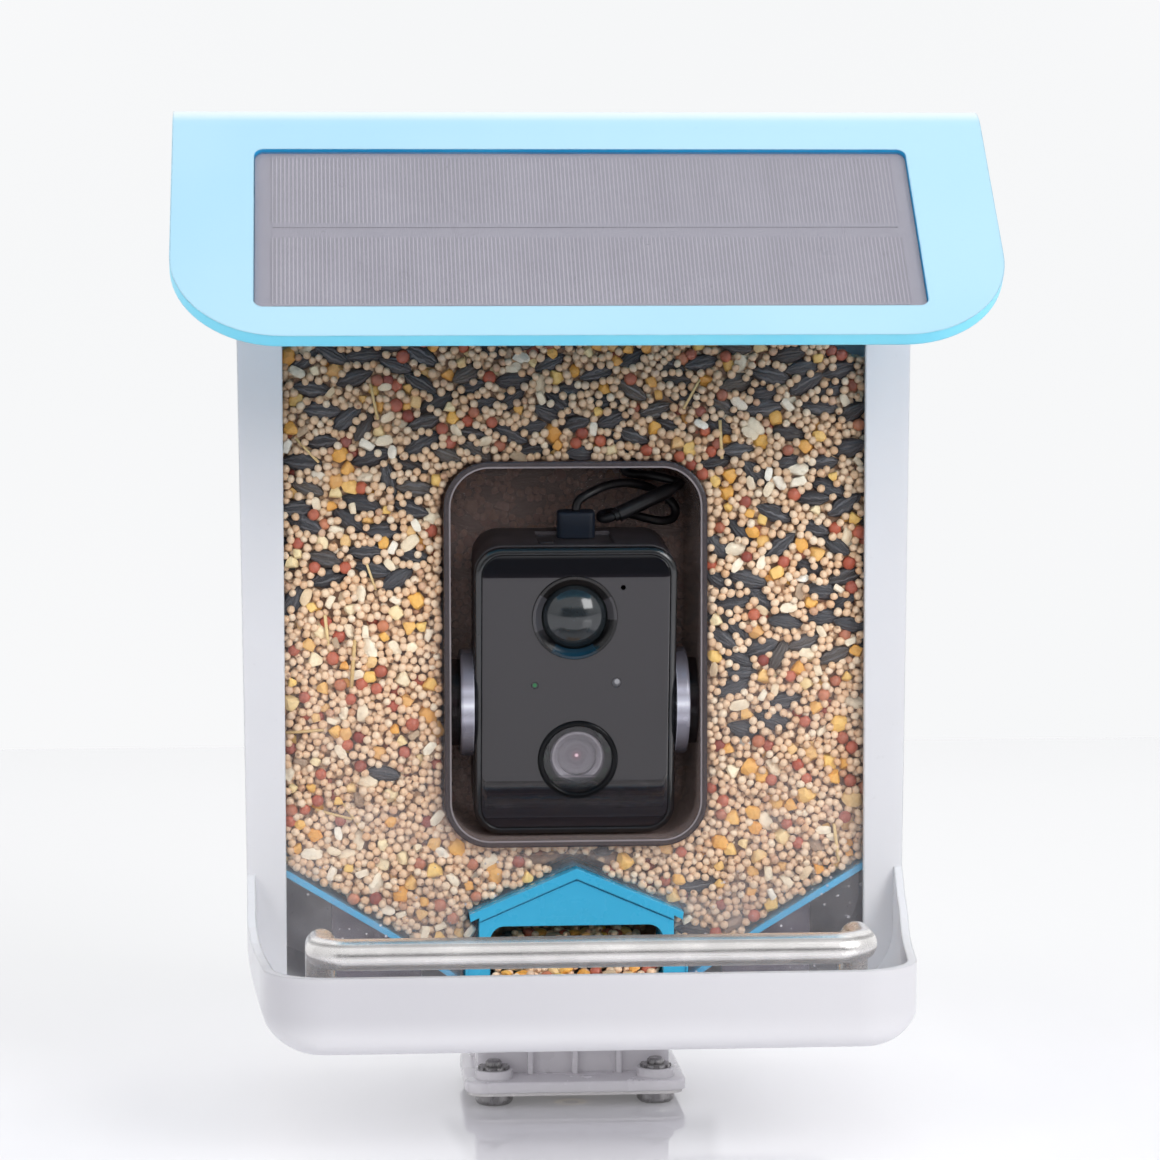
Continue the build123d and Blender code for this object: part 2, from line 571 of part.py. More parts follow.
with BuildPart() as bracket_screws:
    for x in (-22, 22):
        for y in (17.5, 30.5):
            with Locations((x, YW + y, Z_FLOOR + 0.02)):
                Cylinder(2.8, 1.8, align=(Align.CENTER, Align.CENTER, Align.MIN))
                Cylinder(1.25, 12, align=(Align.CENTER, Align.CENTER, Align.MAX))
                with Locations((0, 0, 1.4)):
                    Box(3.4, 0.7, 1.0, mode=Mode.SUBTRACT)
                    Box(0.7, 3.4, 1.0, mode=Mode.SUBTRACT)
keep(bracket_screws.part, "bracket_screws")

# ---------------------------------------------------------------- roof
with BuildPart() as roof_shell:
    n1, n2 = (-sin(ALPHA), cos(ALPHA)), (sin(BETA), cos(BETA))
    # inner corner under the ridge: both faces moved in by the thickness
    t = ROOF_T
    det = n1[0] * n2[1] - n1[1] * n2[0]
    c1 = n1[0] * RIDGE_Y + n1[1] * RIDGE_Z - t
    c2 = n2[0] * RIDGE_Y + n2[1] * RIDGE_Z - t
    ridge_in = ((c1 * n2[1] - n1[1] * c2) / det, (n1[0] * c2 - n2[0] * c1) / det)
    with BuildSketch(profile(-ROOF_HALF)) as roof_profile:
        with BuildLine():
            Polyline(
                (RIDGE_Y, RIDGE_Z), (EAVE_Y, EAVE_Z), (EAVE_Y - n1[0] * t, EAVE_Z - n1[1] * t), ridge_in,
                (ROOF_REAR_Y, rear_top(ROOF_REAR_Y, t)), (ROOF_REAR_Y, rear_top(ROOF_REAR_Y, 0)), close=True)
        make_face()
        fillet(roof_profile.vertices().sort_by(Axis.Y)[-1], radius=14)
        fillet(roof_profile.vertices().filter_by(lambda v: abs(v.X - ridge_in[0]) < 0.2 and abs(v.Y - ridge_in[1]) < 0.2), radius=10.1)
    extrude(amount=2 * ROOF_HALF)
    fillet(roof_shell.edges().filter_by(lambda e: abs(e.length - t) < 0.2 and e.center().Y < YW + EAVE_Y + 6), radius=CORNER_R)
    fillet(roof_shell.edges().filter_by(lambda e: abs(e.length - t / cos(BETA)) < 0.2 and e.center().Y > YW + ROOF_REAR_Y - 3), radius=10)
    # recess for the solar panel, with a slot for its leads
    with BuildSketch(slope(-PV_DEPTH)):
        with Locations((0, -PV_TOP - PV_L / 2)):
            RectangleRounded(PV_W, PV_L, 2.6)
    extrude(amount=10, mode=Mode.SUBTRACT)
    with BuildSketch(slope(-10)):
        with Locations((0, -PV_TOP - 9)):
            RectangleRounded(16, 6, 2)
    extrude(amount=15, mode=Mode.SUBTRACT)
    # hinge knuckles under the rear edge
    for s in (-1, 1):
        with BuildSketch(profile(s * 36.9)):
            with Locations((HINGE_Y, HINGE_Z)):
                Circle(KNUCKLE_R)
            with BuildLine():
                Polyline((HINGE_Y - 3.4, HINGE_Z), (HINGE_Y - 3.4, rear_top(HINGE_Y - 3.4, 2)), (ROOF_REAR_Y, rear_top(ROOF_REAR_Y, 2)), (HINGE_Y + 3.4, HINGE_Z + 1), (HINGE_Y + 3.4, HINGE_Z), close=True)
            make_face()
        extrude(amount=7.4, both=True)
    with Locations((0, YW + HINGE_Y, HINGE_Z)):
        Cylinder(PIN_R + PIN_CLEAR, 130, rotation=(0, 90, 0), mode=Mode.SUBTRACT)
    # blind holes for the liner's screws
    with BuildSketch(slope(-ROOF_T - 1)):
        with Locations(*[(x, -y) for x in (-97, 0, 97) for y in (14.0, 79.0)]):
            Circle(1.0)
    extrude(amount=2.9, mode=Mode.SUBTRACT)
keep(roof_shell.part, "roof_shell")

LINER_W, LINER_TOP, LINER_LOW = 201.0, 11.0, 82.0
with BuildPart() as roof_liner:
    with BuildSketch(slope(-ROOF_T - 0.05)):
        with Locations((0, -(LINER_TOP + LINER_LOW) / 2)):
            RectangleRounded(LINER_W, LINER_LOW - LINER_TOP, 22)
    extrude(amount=-1.5)
    with BuildSketch(slope(-ROOF_T - 0.05)):
        with Locations((0, -(LINER_TOP + LINER_LOW) / 2)):
            RectangleRounded(LINER_W - 13, LINER_LOW - LINER_TOP - 12, 16)
    extrude(amount=-6.5, taper=8)
    with BuildSketch(slope(-ROOF_T)):
        with Locations((0, -(LINER_TOP + LINER_LOW) / 2)):
            RectangleRounded(LINER_W - 16, LINER_LOW - LINER_TOP - 15, 14.5)
    extrude(amount=-5.1, taper=8, mode=Mode.SUBTRACT)
    with BuildSketch(slope(-12)):
        with Locations(*[(x, -y) for x in (-97, 0, 97) for y in (14.0, 79.0)]):
            Circle(1.1)
    extrude(amount=12, mode=Mode.SUBTRACT)
    # way out for the lead
    with BuildSketch(slope(-ROOF_T - 4.2)):
        with Locations((GROMMET_X, -LINER_TOP - 2)):
            Rectangle(4.4, 24)
    extrude(amount=6, mode=Mode.SUBTRACT)
keep(roof_liner.part, "roof_liner")

with BuildPart() as liner_screws:
    with BuildSketch(slope(-ROOF_T - 1.55)):
        with Locations(*[(x, -y) for x in (-97, 0, 97) for y in (14.0, 79.0)]):
            Circle(1.9)
    extrude(amount=-1.3)
    with BuildSketch(slope(-ROOF_T - 1.55)):
        with Locations(*[(x, -y) for x in (-97, 0, 97) for y in (14.0, 79.0)]):
            Circle(0.95)
    extrude(amount=3.0)
keep(liner_screws.part, "liner_screws")

with BuildPart() as solar_substrate:
    with BuildSketch(slope(-PV_DEPTH + 0.02)):
        with Locations((0, -PV_TOP - PV_L / 2)):
            RectangleRounded(PV_W - 0.4, PV_L - 0.4, 2.4)
    extrude(amount=0.6)
keep(solar_substrate.part, "solar_substrate")

with BuildPart() as solar_cells:
    with BuildSketch(slope(-PV_DEPTH + 0.64)):
        with Locations((0, -PV_TOP - PV_L / 2 + 15.2), (0, -PV_TOP - PV_L / 2 - 14.8)):
            Rectangle(PV_W - 10, 28.4)
    extrude(amount=0.25)
keep(solar_cells.part, "solar_cells")

with BuildPart() as solar_cover:
    with BuildSketch(slope(-PV_DEPTH + 0.9)):
        with Locations((0, -PV_TOP - PV_L / 2)):
            RectangleRounded(PV_W - 0.5, PV_L - 0.5, 2.4)
    extrude(amount=0.45)
keep(solar_cover.part, "solar_cover")

with BuildPart() as junction_box:
    with BuildSketch(slope(-ROOF_T - 0.1)):
        with Locations((GROMMET_X - 6, -PV_TOP - 14)):
            RectangleRounded(44, 18, 2)
    extrude(amount=-4.0)
    fillet(junction_box.edges().group_by(Axis.Z)[0], radius=0.8)
keep(junction_box.part, "junction_box")

with BuildPart() as hinge_pins:
    for s in (-1, 1):
        with Locations((s * 44.6, YW + HINGE_Y, HINGE_Z)):
            Cylinder(PIN_R, 31.6, rotation=(0, 90, 0))
        with Locations((s * 61.0, YW + HINGE_Y, HINGE_Z)):
            Cylinder(2.4, 1.4, rotation=(0, 90, 0))
keep(hinge_pins.part, "hinge_pins")

with BuildPart() as roof_seal:
    with BuildSketch(rear_slope(-ROOF_T - 1.28)):
        with BuildLine():
            Polyline((-96.4, 11.6), (-96.2, 80.8), (96.2, 80.8), (96.4, 11.6), close=True)
        make_face()
        with BuildLine():
            Polyline((-94.6, 13.4), (-94.4, 79.0), (94.4, 79.0), (94.6, 13.4), close=True)
        make_face(mode=Mode.SUBTRACT)
        with Locations((GROMMET_X, 80), (GROMMET_X, 12.5)):
            Rectangle(6, 6, mode=Mode.SUBTRACT)
    extrude(amount=1.15)
keep(roof_seal.part, "roof_seal")

# ---------------------------------------------------------------- camera
FRONT = CAM_FACE
SEAM = CAM_FACE - 4.0      # bezel behind the face, rear shell behind that
REAR = CAM_FACE - CAM_DEPTH

with BuildPart() as camera_rear_shell:
    with BuildSketch(camera(SEAM)):
        with Locations((0, CAM_UP)):
            RectangleRounded(CAM_W, CAM_H, CAM_R)
    extrude(amount=REAR - SEAM, taper=1.0)
    fillet(camera_rear_shell.faces().sort_by(Axis.Y)[-1].edges(), radius=6.5)
    with BuildSketch(camera(SEAM + 0.01)):
        with Locations((0, CAM_UP)):
            RectangleRounded(CAM_W - 4.4, CAM_H - 4.4, CAM_R - 2)
    extrude(amount=REAR - SEAM + 2.2, taper=1.0, mode=Mode.SUBTRACT)
    # recess with the port, on top
    with BuildSketch(camera(6.4)):
        with Locations((0.4, CAM_UP + CAM_H / 2 - 0.2)):
            Rectangle(21.8, 2.4)
    extrude(amount=-19, mode=Mode.SUBTRACT)
    with BuildSketch(camera(PLUG_D + 1.9)):
        with Locations((PLUG_X, CAM_UP + CAM_H / 2 - 3)):
            Rectangle(9.4, 12)
    extrude(amount=-3.8, mode=Mode.SUBTRACT)
    with BuildSketch(camera(BUTTON_D + 3.5)):
        with Locations((BUTTON_X, CAM_UP + CAM_H / 2 - 3)):
            Rectangle(5.2, 12)
    extrude(amount=-7.0, mode=Mode.SUBTRACT)
    # screw holes at the back
    with BuildSketch(camera(REAR - 1)):
        with Locations(*[(x, CAM_UP + y) for x in (-19, 19) for y in (-31, 31)]):
            Circle(1.5)
    extrude(amount=8, mode=Mode.SUBTRACT)
keep(camera_rear_shell.part, "camera_rear_shell")

with BuildPart() as camera_gasket:
    with BuildSketch(camera(SEAM + 0.02)):
        with Locations((0, CAM_UP)):
            RectangleRounded(CAM_W - 0.8, CAM_H - 0.8, CAM_R - 0.4)
            RectangleRounded(CAM_W - 4.2, CAM_H - 4.2, CAM_R - 2, mode=Mode.SUBTRACT)
    extrude(amount=0.5)
keep(camera_gasket.part, "camera_gasket")

with BuildPart() as camera_bezel:
    with BuildSketch(camera(SEAM + 0.54)):
        with Locations((0, CAM_UP)):
            RectangleRounded(CAM_W, CAM_H, CAM_R)
    extrude(amount=FRONT - SEAM - 0.54)
    fillet(camera_bezel.faces().sort_by(Axis.Y)[0].edges(), radius=1.6)
    with BuildSketch(camera(FRONT - 2.0)):
        with Locations((0, CAM_UP)):
            RectangleRounded(CAM_W - 3.8, CAM_H - 3.8, CAM_R - 1.8)
    extrude(amount=5, mode=Mode.SUBTRACT)
    with BuildSketch(camera(SEAM)):
        with Locations((0, CAM_UP)):
            RectangleRounded(CAM_W - 9, CAM_H - 9, CAM_R - 4)
    extrude(amount=10, mode=Mode.SUBTRACT)
keep(camera_bezel.part, "camera_bezel")

with BuildPart() as camera_front_panel:
    with BuildSketch(camera(FRONT - 1.98)):
        with Locations((0, CAM_UP)):
            RectangleRounded(CAM_W - 4.0, CAM_H - 4.0, CAM_R - 1.9)
        with Locations((PIR_X, PIR_UP)):
            Circle(12.15, mode=Mode.SUBTRACT)
        with Locations((LENS_X, LENS_UP)):
            Circle(11.45, mode=Mode.SUBTRACT)
        with Locations((LED_X, LED_UP)):
            Circle(1.0, mode=Mode.SUBTRACT)
        with Locations((EYE_X, EYE_UP)):
            Circle(1.3, mode=Mode.SUBTRACT)
        with Locations((MIC_X, MIC_UP)):
            Circle(0.7, mode=Mode.SUBTRACT)
    extrude(amount=1.78)
    fillet(camera_front_panel.edges().filter_by(lambda e: e.length > 20).group_by(Axis.Y)[0], radius=0.3)
keep(camera_front_panel.part, "camera_front_panel")

with BuildPart() as pir_ring:
    with BuildSketch(camera(FRONT - 2.6)):
        with Locations((PIR_X, PIR_UP)):
            Circle(12.1)
            Circle(9.2, mode=Mode.SUBTRACT)
    extrude(amount=3.0)
    # inner cone that catches the light
    with Locations(Plane(origin=cam_point(PIR_X, PIR_UP, FRONT + 0.4), x_dir=(1, 0, 0), z_dir=camera().z_dir)):
        Cone(9.2, 11.3, 1.8, align=(Align.CENTER, Align.CENTER, Align.MAX), mode=Mode.SUBTRACT)
keep(pir_ring.part, "pir_ring")

DOME_R = 11.5
with BuildPart() as pir_dome:
    with BuildSketch(camera(FRONT - 2.5)):
        with Locations((PIR_X, PIR_UP)):
            Circle(9.1)
    extrude(amount=9)
    with Locations(cam_point(PIR_X, PIR_UP, FRONT + 3.0 - DOME_R)):
        Sphere(DOME_R, mode=Mode.INTERSECT)
        Sphere(DOME_R - 1.2, mode=Mode.SUBTRACT)
keep(pir_dome.part, "pir_dome")

with BuildPart() as pir_sensor:
    with BuildSketch(camera(SEAM - 6.4)):
        with Locations((PIR_X, PIR_UP)):
            Circle(4.6)
    extrude(amount=4.2)
keep(pir_sensor.part, "pir_sensor")

with BuildPart() as lens_ring:
    with BuildSketch(camera(FRONT - 2.6)):
        with Locations((LENS_X, LENS_UP)):
            Circle(11.4)
            Circle(9.9, mode=Mode.SUBTRACT)
    extrude(amount=3.2)
    fillet(lens_ring.edges().group_by(Axis.Y)[0], radius=0.5)
keep(lens_ring.part, "lens_ring")

with BuildPart() as lens_window:
    with BuildSketch(camera(FRONT - 2.2)):
        with Locations((LENS_X, LENS_UP)):
            Circle(9.85)
    extrude(amount=1.6)
keep(lens_window.part, "lens_window")

with BuildPart() as lens_barrel:
    with BuildSketch(camera(FRONT - 2.3)):
        with Locations((LENS_X, LENS_UP)):
            Circle(7.8)
            Circle(5.6, mode=Mode.SUBTRACT)
    extrude(amount=-7.9)
    with BuildSketch(camera(FRONT - 5.2)):
        with Locations((LENS_X, LENS_UP)):
            Circle(5.8)
    extrude(amount=-4.9)
    with Locations(Plane(origin=cam_point(LENS_X, LENS_UP, FRONT - 2.3), x_dir=(1, 0, 0), z_dir=camera().z_dir)):
        Cone(2.2, 7.0, 2.9, align=(Align.CENTER, Align.CENTER, Align.MAX), mode=Mode.SUBTRACT)
keep(lens_barrel.part, "lens_barrel")

with BuildPart() as status_led:
    with BuildSketch(camera(FRONT - 2.2)):
        with Locations((LED_X, LED_UP)):
            Circle(0.95)
    extrude(amount=1.9)
keep(status_led.part, "status_led")

with BuildPart() as light_sensor:
    with BuildSketch(camera(FRONT - 2.2)):
        with Locations((EYE_X, EYE_UP)):
            Circle(1.25)
    extrude(amount=1.9)
keep(light_sensor.part, "light_sensor")

BOARD = SEAM - 8.0
with BuildPart() as microphone:
    with BuildSketch(camera(BOARD + 1.62)):
        with Locations((MIC_X, MIC_UP)):
            Circle(3.0)
    extrude(amount=1.6)
keep(microphone.part, "microphone")

with BuildPart() as main_board:
    with BuildSketch(camera(BOARD)):
        with Locations((0, CAM_UP - 1)):
            RectangleRounded(44, 72, 3)
    extrude(amount=1.6)
    with BuildSketch(camera(BOARD + 1.59)):
        with Locations((-9, CAM_UP + 10)):
            Rectangle(12, 12)
        with Locations((10, CAM_UP - 2), (-13, CAM_UP - 9)):
            Rectangle(7, 5)
    extrude(amount=1.2)
keep(main_board.part, "main_board")

with BuildPart() as battery_cells:
    for x in (-9.3, 9.3):
        with Locations(Plane(origin=cam_point(x, CAM_UP - 3.5, BOARD - 10.2), x_dir=(1, 0, 0), z_dir=(0, -sin(radians(TILT)), cos(radians(TILT))))):
            Cylinder(9.1, 65)
keep(battery_cells.part, "battery_cells")

with BuildPart() as speaker:
    with BuildSketch(camera(BOARD + 1.62)):
        with Locations((0, CAM_UP - 33.0)):
            RectangleRounded(18, 7.6, 3.5)
    extrude(amount=3.2)
keep(speaker.part, "speaker")

TOP_UP = CAM_UP + CAM_H / 2


def across(x, up, d):
    """Plane square to the camera's height; local x is X, local y runs back into the camera."""
    return Plane(origin=cam_point(x, up, d), x_dir=(1, 0, 0), z_dir=(0, -sin(radians(TILT)), cos(radians(TILT))))


with BuildPart() as port_board:
    with BuildSketch(across(-2.5, TOP_UP - 8.4, -6.2)):
        Rectangle(23, 13)
    extrude(amount=0.8)
keep(port_board.part, "port_board")

with BuildPart() as usb_socket:
    with BuildSketch(across(PLUG_X, TOP_UP - 7.58, PLUG_D)):
        RectangleRounded(8.9, 3.3, 1.4)
    extrude(amount=5.9)
    with BuildSketch(across(PLUG_X, TOP_UP - 7.2, PLUG_D)):
        RectangleRounded(8.3, 2.7, 1.25)
    extrude(amount=8, mode=Mode.SUBTRACT)
keep(usb_socket.part, "usb_socket")

with BuildPart() as button_switch:
    with BuildSketch(across(BUTTON_X, TOP_UP - 7.58, BUTTON_D)):
        Rectangle(4.4, 4.4)
    extrude(amount=2.2)
    with BuildSketch(across(BUTTON_X, TOP_UP - 5.4, BUTTON_D)):
        Circle(1.2)
    extrude(amount=0.9)
keep(button_switch.part, "button_switch")

with BuildPart() as power_button:
    with BuildSketch(across(BUTTON_X, TOP_UP - 3.5, BUTTON_D)):
        RectangleRounded(4.8, 6.5, 1.0)
    extrude(amount=2.9)
    fillet(power_button.edges().group_by(Axis.Z)[-1], radius=0.4)
keep(power_button.part, "power_button")

with BuildPart() as usb_plug:
    with BuildSketch(across(PLUG_X, TOP_UP - 6.9, PLUG_D)):
        RectangleRounded(8.1, 2.5, 1.15)
    extrude(amount=6)
    with BuildSketch(across(PLUG_X, TOP_UP - 1.1, PLUG_D)):
        RectangleRounded(11.0, 6.2, 2.0)
    extrude(amount=7.6)
    fillet(usb_plug.edges().group_by(Axis.Z)[-1], radius=0.8)
keep(usb_plug.part, "usb_plug")

with BuildPart() as pivot_discs:
    for s in (-1, 1):
        with BuildSketch(profile(s * (CAM_W / 2 + 0.05))):
            with Locations((AXIS_Y, AXIS_Z)):
                Circle(15.6)
        extrude(amount=s * 3.85)
    fillet(pivot_discs.edges().filter_by(lambda e: abs(abs(e.center().X) - CAM_W / 2 - 3.9) < 0.1), radius=1.0)
    for s in (-1, 1):
        with BuildSketch(profile(s * (CAM_W / 2 + 0.5))):
            with Locations((AXIS_Y, AXIS_Z)):
                Circle(4.04)
        extrude(amount=s * 7.3)
keep(pivot_discs.part, "pivot_discs")

with BuildPart() as camera_screws:
    with BuildSketch(camera(REAR + 0.4)):
        with Locations(*[(x, CAM_UP + y) for x in (-19, 19) for y in (-31, 31)]):
            Circle(1.35)
    extrude(amount=6)
keep(camera_screws.part, "camera_screws")

# ---------------------------------------------------------------- leads
LEAD_R = 1.3


def w(x, y, z):
    return (x, YW + y, z)


def lead(points, label, short=()):
    """Tube along straight runs joined by tangent arcs, each as large as its two runs allow."""
    pts = [Vector(*p) for p in points]
    radii = []
    for a, b, c in zip(pts, pts[1:], pts[2:]):
        u, v = b - a, c - b
        turn = radians(u.get_angle(v))
        radii.append(0.45 * min(u.length, v.length) / tan(turn / 2))
    print(label, "radii", [round(r, 1) for r in radii], "runs", [round((b - a).length, 1) for a, b in zip(pts, pts[1:])])
    with BuildPart() as tube:
        with BuildLine() as line:
            FilletPolyline(*pts, radius=radii)
        with BuildSketch(Plane(origin=pts[0], z_dir=pts[1] - pts[0])):
            Circle(LEAD_R)
        sweep(path=line.wires()[0])
    length = line.wires()[0].length
    print(label, "length", round(length, 1), "volume ratio", round(tube.part.volume / (pi * LEAD_R ** 2 * length), 4))
    return tube.part


PLUG_END = cam_point(PLUG_X, TOP_UP + 6.55, PLUG_D)
CONN_A, CONN_B = w(12.3, 16.6, 169.8), w(29.8, 19.8, 177.6)
CONN_RUN = (Vector(*CONN_B) - Vector(*CONN_A)).normalized()


def beyond(start, distance):
    """Point on the connector's axis, distance beyond one of its ends."""
    p = Vector(*start) + CONN_RUN * distance
    return (p.X, p.Y, p.Z)


def under_roof(x, y):
    """Point on the lead's way along the inside of the rear roof."""
    return w(x, y, rear_top(y, ROOF_T + 1.62))


def in_slope(x, t):
    """Point on the lead's way inside the front roof, t up the slope from the ridge."""
    p = slope(-ROOF_T - 2.5).from_local_coords(Vector(x, t, 0))
    return (p.X, p.Y, p.Z)


CAMERA_ROUTE = [
    PLUG_END, cam_point(PLUG_X, TOP_UP + 9.2, PLUG_D), w(5.0, 16.6, 176.4), w(10.0, 19.0, 178.6), w(16.0, 21.8, 179.4), w(22.4, 24.2, 178.2), w(28.0, 26.8, 175.2),
    w(31.6, 28.2, 171.6), w(30.8, 26.8, 168.2), w(26.6, 25.2, 167.6), w(21.4, 24.6, 168.9), w(16.0, 24.8, 170.4), w(11.2, 23.4, 170.6), w(8.0, 20.0, 169.8), beyond(CONN_A, -3.2), CONN_A,
]
SOLAR_ROUTE = [
    CONN_B, beyond(CONN_B, 2.6), w(31.9, 23.2, 179.3), w(28.9, 25.4, 180.0), w(24.4, 27.2, 181.0), w(19.8, 29.0, 181.2), w(16.0, 30.0, 181.9), w(16.0, 30.0, 188.4), w(16.1, 34.6, 192.8), w(15.9, 43.0, 194.4),
    w(16.1, 53.0, 194.8), w(15.9, 60.2, 197.4), w(16.1, 63.5, 205.0), w(16.0, 63.8, 217.0), w(15.85, 63.6, 236.0), w(16.0, 63.8, 253.0),
]
ROOF_ROUTE = [
    w(16.0, 63.8, 253.2), w(16.0, 63.5, 257.2), under_roof(16.0, 56.0), under_roof(15.9, 46.0), under_roof(16.1, 36.0), under_roof(15.9, 22.0), under_roof(16.1, 8.0),
    w(16.0, -2.5, 277.6), w(15.9, -9.4, 277.3), in_slope(16.1, -11.4), in_slope(16.0, -20.7),
]

keep(lead(CAMERA_ROUTE, "camera_lead"), "camera_lead")
keep(lead(SOLAR_ROUTE, "solar_lead"), "solar_lead")
keep(lead(ROOF_ROUTE, "roof_lead"), "roof_lead")

with BuildPart() as lead_connector:
    a, b = Vector(*CONN_A), Vector(*CONN_B)
    run = (b - a).normalized()
    with BuildSketch(Plane(origin=a + run * 0.02, z_dir=run)):
        Circle(1.7)
    extrude(amount=(b - a).length - 0.04)
    with BuildSketch(Plane(origin=a + run * 1.4, z_dir=run)):
        Circle(2.2)
    extrude(amount=(b - a).length - 2.8)
keep(lead_connector.part, "lead_connector")

with BuildPart() as lead_clips:
    for back in (44.0, 26.0):
        with BuildSketch(rear_slope(-ROOF_T - 0.05)):
            with Locations((LEAD_X, back)):
                Rectangle(7.5, 4)
        extrude(amount=-3.9)
        with BuildSketch(rear_slope(-ROOF_T - 0.05)):
            with Locations((LEAD_X, back)):
                Rectangle(3.2, 8)
        extrude(amount=-3.1, mode=Mode.SUBTRACT)
keep(lead_clips.part, "lead_clips")

# ---------------------------------------------------------------- seeds spilling from the outlet
with BuildPart() as tray_seeds:
    with BuildSketch(profile(-24.4)):
        with BuildLine():
            Polyline((HOOD_B - 0.5, Z_FLOOR + 1.9), (HOOD_B - 0.5, 50.5), (8, 48.5), (-2, 44.2), (-12, 39.2), (-26, 36.4), (-26, Z_FLOOR + 1.9), close=True)
        make_face()
    extrude(amount=48.8)
keep(tray_seeds.part, "tray_seeds")

print("nodes", len(made))
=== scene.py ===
import json
import math
import random
import bpy
import bmesh
import numpy as np
from mathutils import Matrix, Vector
from mathutils.bvhtree import BVHTree


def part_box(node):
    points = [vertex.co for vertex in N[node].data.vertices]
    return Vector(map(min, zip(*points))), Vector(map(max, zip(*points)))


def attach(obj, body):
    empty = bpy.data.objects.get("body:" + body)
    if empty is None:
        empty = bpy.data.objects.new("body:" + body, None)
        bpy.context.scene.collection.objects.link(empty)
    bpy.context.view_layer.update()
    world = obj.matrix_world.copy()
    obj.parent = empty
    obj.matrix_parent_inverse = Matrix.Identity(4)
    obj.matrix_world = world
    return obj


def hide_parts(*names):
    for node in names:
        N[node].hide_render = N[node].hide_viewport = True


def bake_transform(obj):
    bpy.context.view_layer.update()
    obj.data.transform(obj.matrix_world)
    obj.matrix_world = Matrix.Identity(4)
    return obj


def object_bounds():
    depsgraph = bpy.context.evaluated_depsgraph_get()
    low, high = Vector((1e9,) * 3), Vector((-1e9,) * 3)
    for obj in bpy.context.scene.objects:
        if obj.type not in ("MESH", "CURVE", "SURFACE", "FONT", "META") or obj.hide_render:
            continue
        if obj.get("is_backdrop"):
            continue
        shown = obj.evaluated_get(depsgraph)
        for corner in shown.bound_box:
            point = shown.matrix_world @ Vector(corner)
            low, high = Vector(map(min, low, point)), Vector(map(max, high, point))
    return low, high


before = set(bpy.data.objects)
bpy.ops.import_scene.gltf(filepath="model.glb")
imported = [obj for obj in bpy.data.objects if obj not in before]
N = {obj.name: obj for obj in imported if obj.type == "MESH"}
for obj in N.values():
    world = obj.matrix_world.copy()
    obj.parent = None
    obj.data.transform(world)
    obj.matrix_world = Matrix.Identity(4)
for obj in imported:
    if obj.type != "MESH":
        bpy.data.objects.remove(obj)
scene = bpy.context.scene


def plain(b):
    return json.loads(json.dumps(b, default=lambda v: [float(c) for c in v]))


cad_box = plain(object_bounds())

scene.view_settings.view_transform = "Standard"
scene.view_settings.look = "None"
scene.view_settings.exposure = 0.0
scene.view_settings.gamma = 1.0

YW = -0.00075
TILT = math.radians(8)
AXIS = (YW + 0.015, 0.1163)
ALPHA = math.atan2(286.5 - 223.4, -12.0 + 76.0)


def camp(x, up, d):
    """Point of the feeder's camera: millimetres across, up and out of its pivot axis, given in metres."""
    x, up, d = x / 1000, up / 1000, d / 1000
    return Vector((x, AXIS[0] - d * math.cos(TILT) - up * math.sin(TILT), AXIS[1] - d * math.sin(TILT) + up * math.cos(TILT)))


# ---------------------------------------------------------------- view
cam_data = bpy.data.cameras.new("view")
cam_data.lens = 117.394
cam_data.sensor_width = 36.0
cam_data.sensor_fit = "HORIZONTAL"
cam_data.clip_start = 0.05
cam_data.clip_end = 50
cam_data.dof.use_dof = False
cam = bpy.data.objects.new("view", cam_data)
scene.collection.objects.link(cam)
right = Vector((0.9973417, -0.0728473, -0.0016703))
up = Vector((0.0073890, 0.0783030, 0.9969022))
fwd = Vector((0.0724908, 0.9942645, -0.0786331))
place = Vector((-0.0770380, -1.0737474, 0.2374930))
cam.matrix_world = Matrix((
    (right.x, up.x, -fwd.x, place.x),
    (right.y, up.y, -fwd.y, place.y),
    (right.z, up.z, -fwd.z, place.z),
    (0, 0, 0, 1)))
scene.camera = cam


# ---------------------------------------------------------------- shader building
def srgb(r, g, b, a=1.0):
    def f(v):
        v /= 255.0
        return v / 12.92 if v <= 0.04045 else ((v + 0.055) / 1.055) ** 2.4
    return (f(r), f(g), f(b), a)


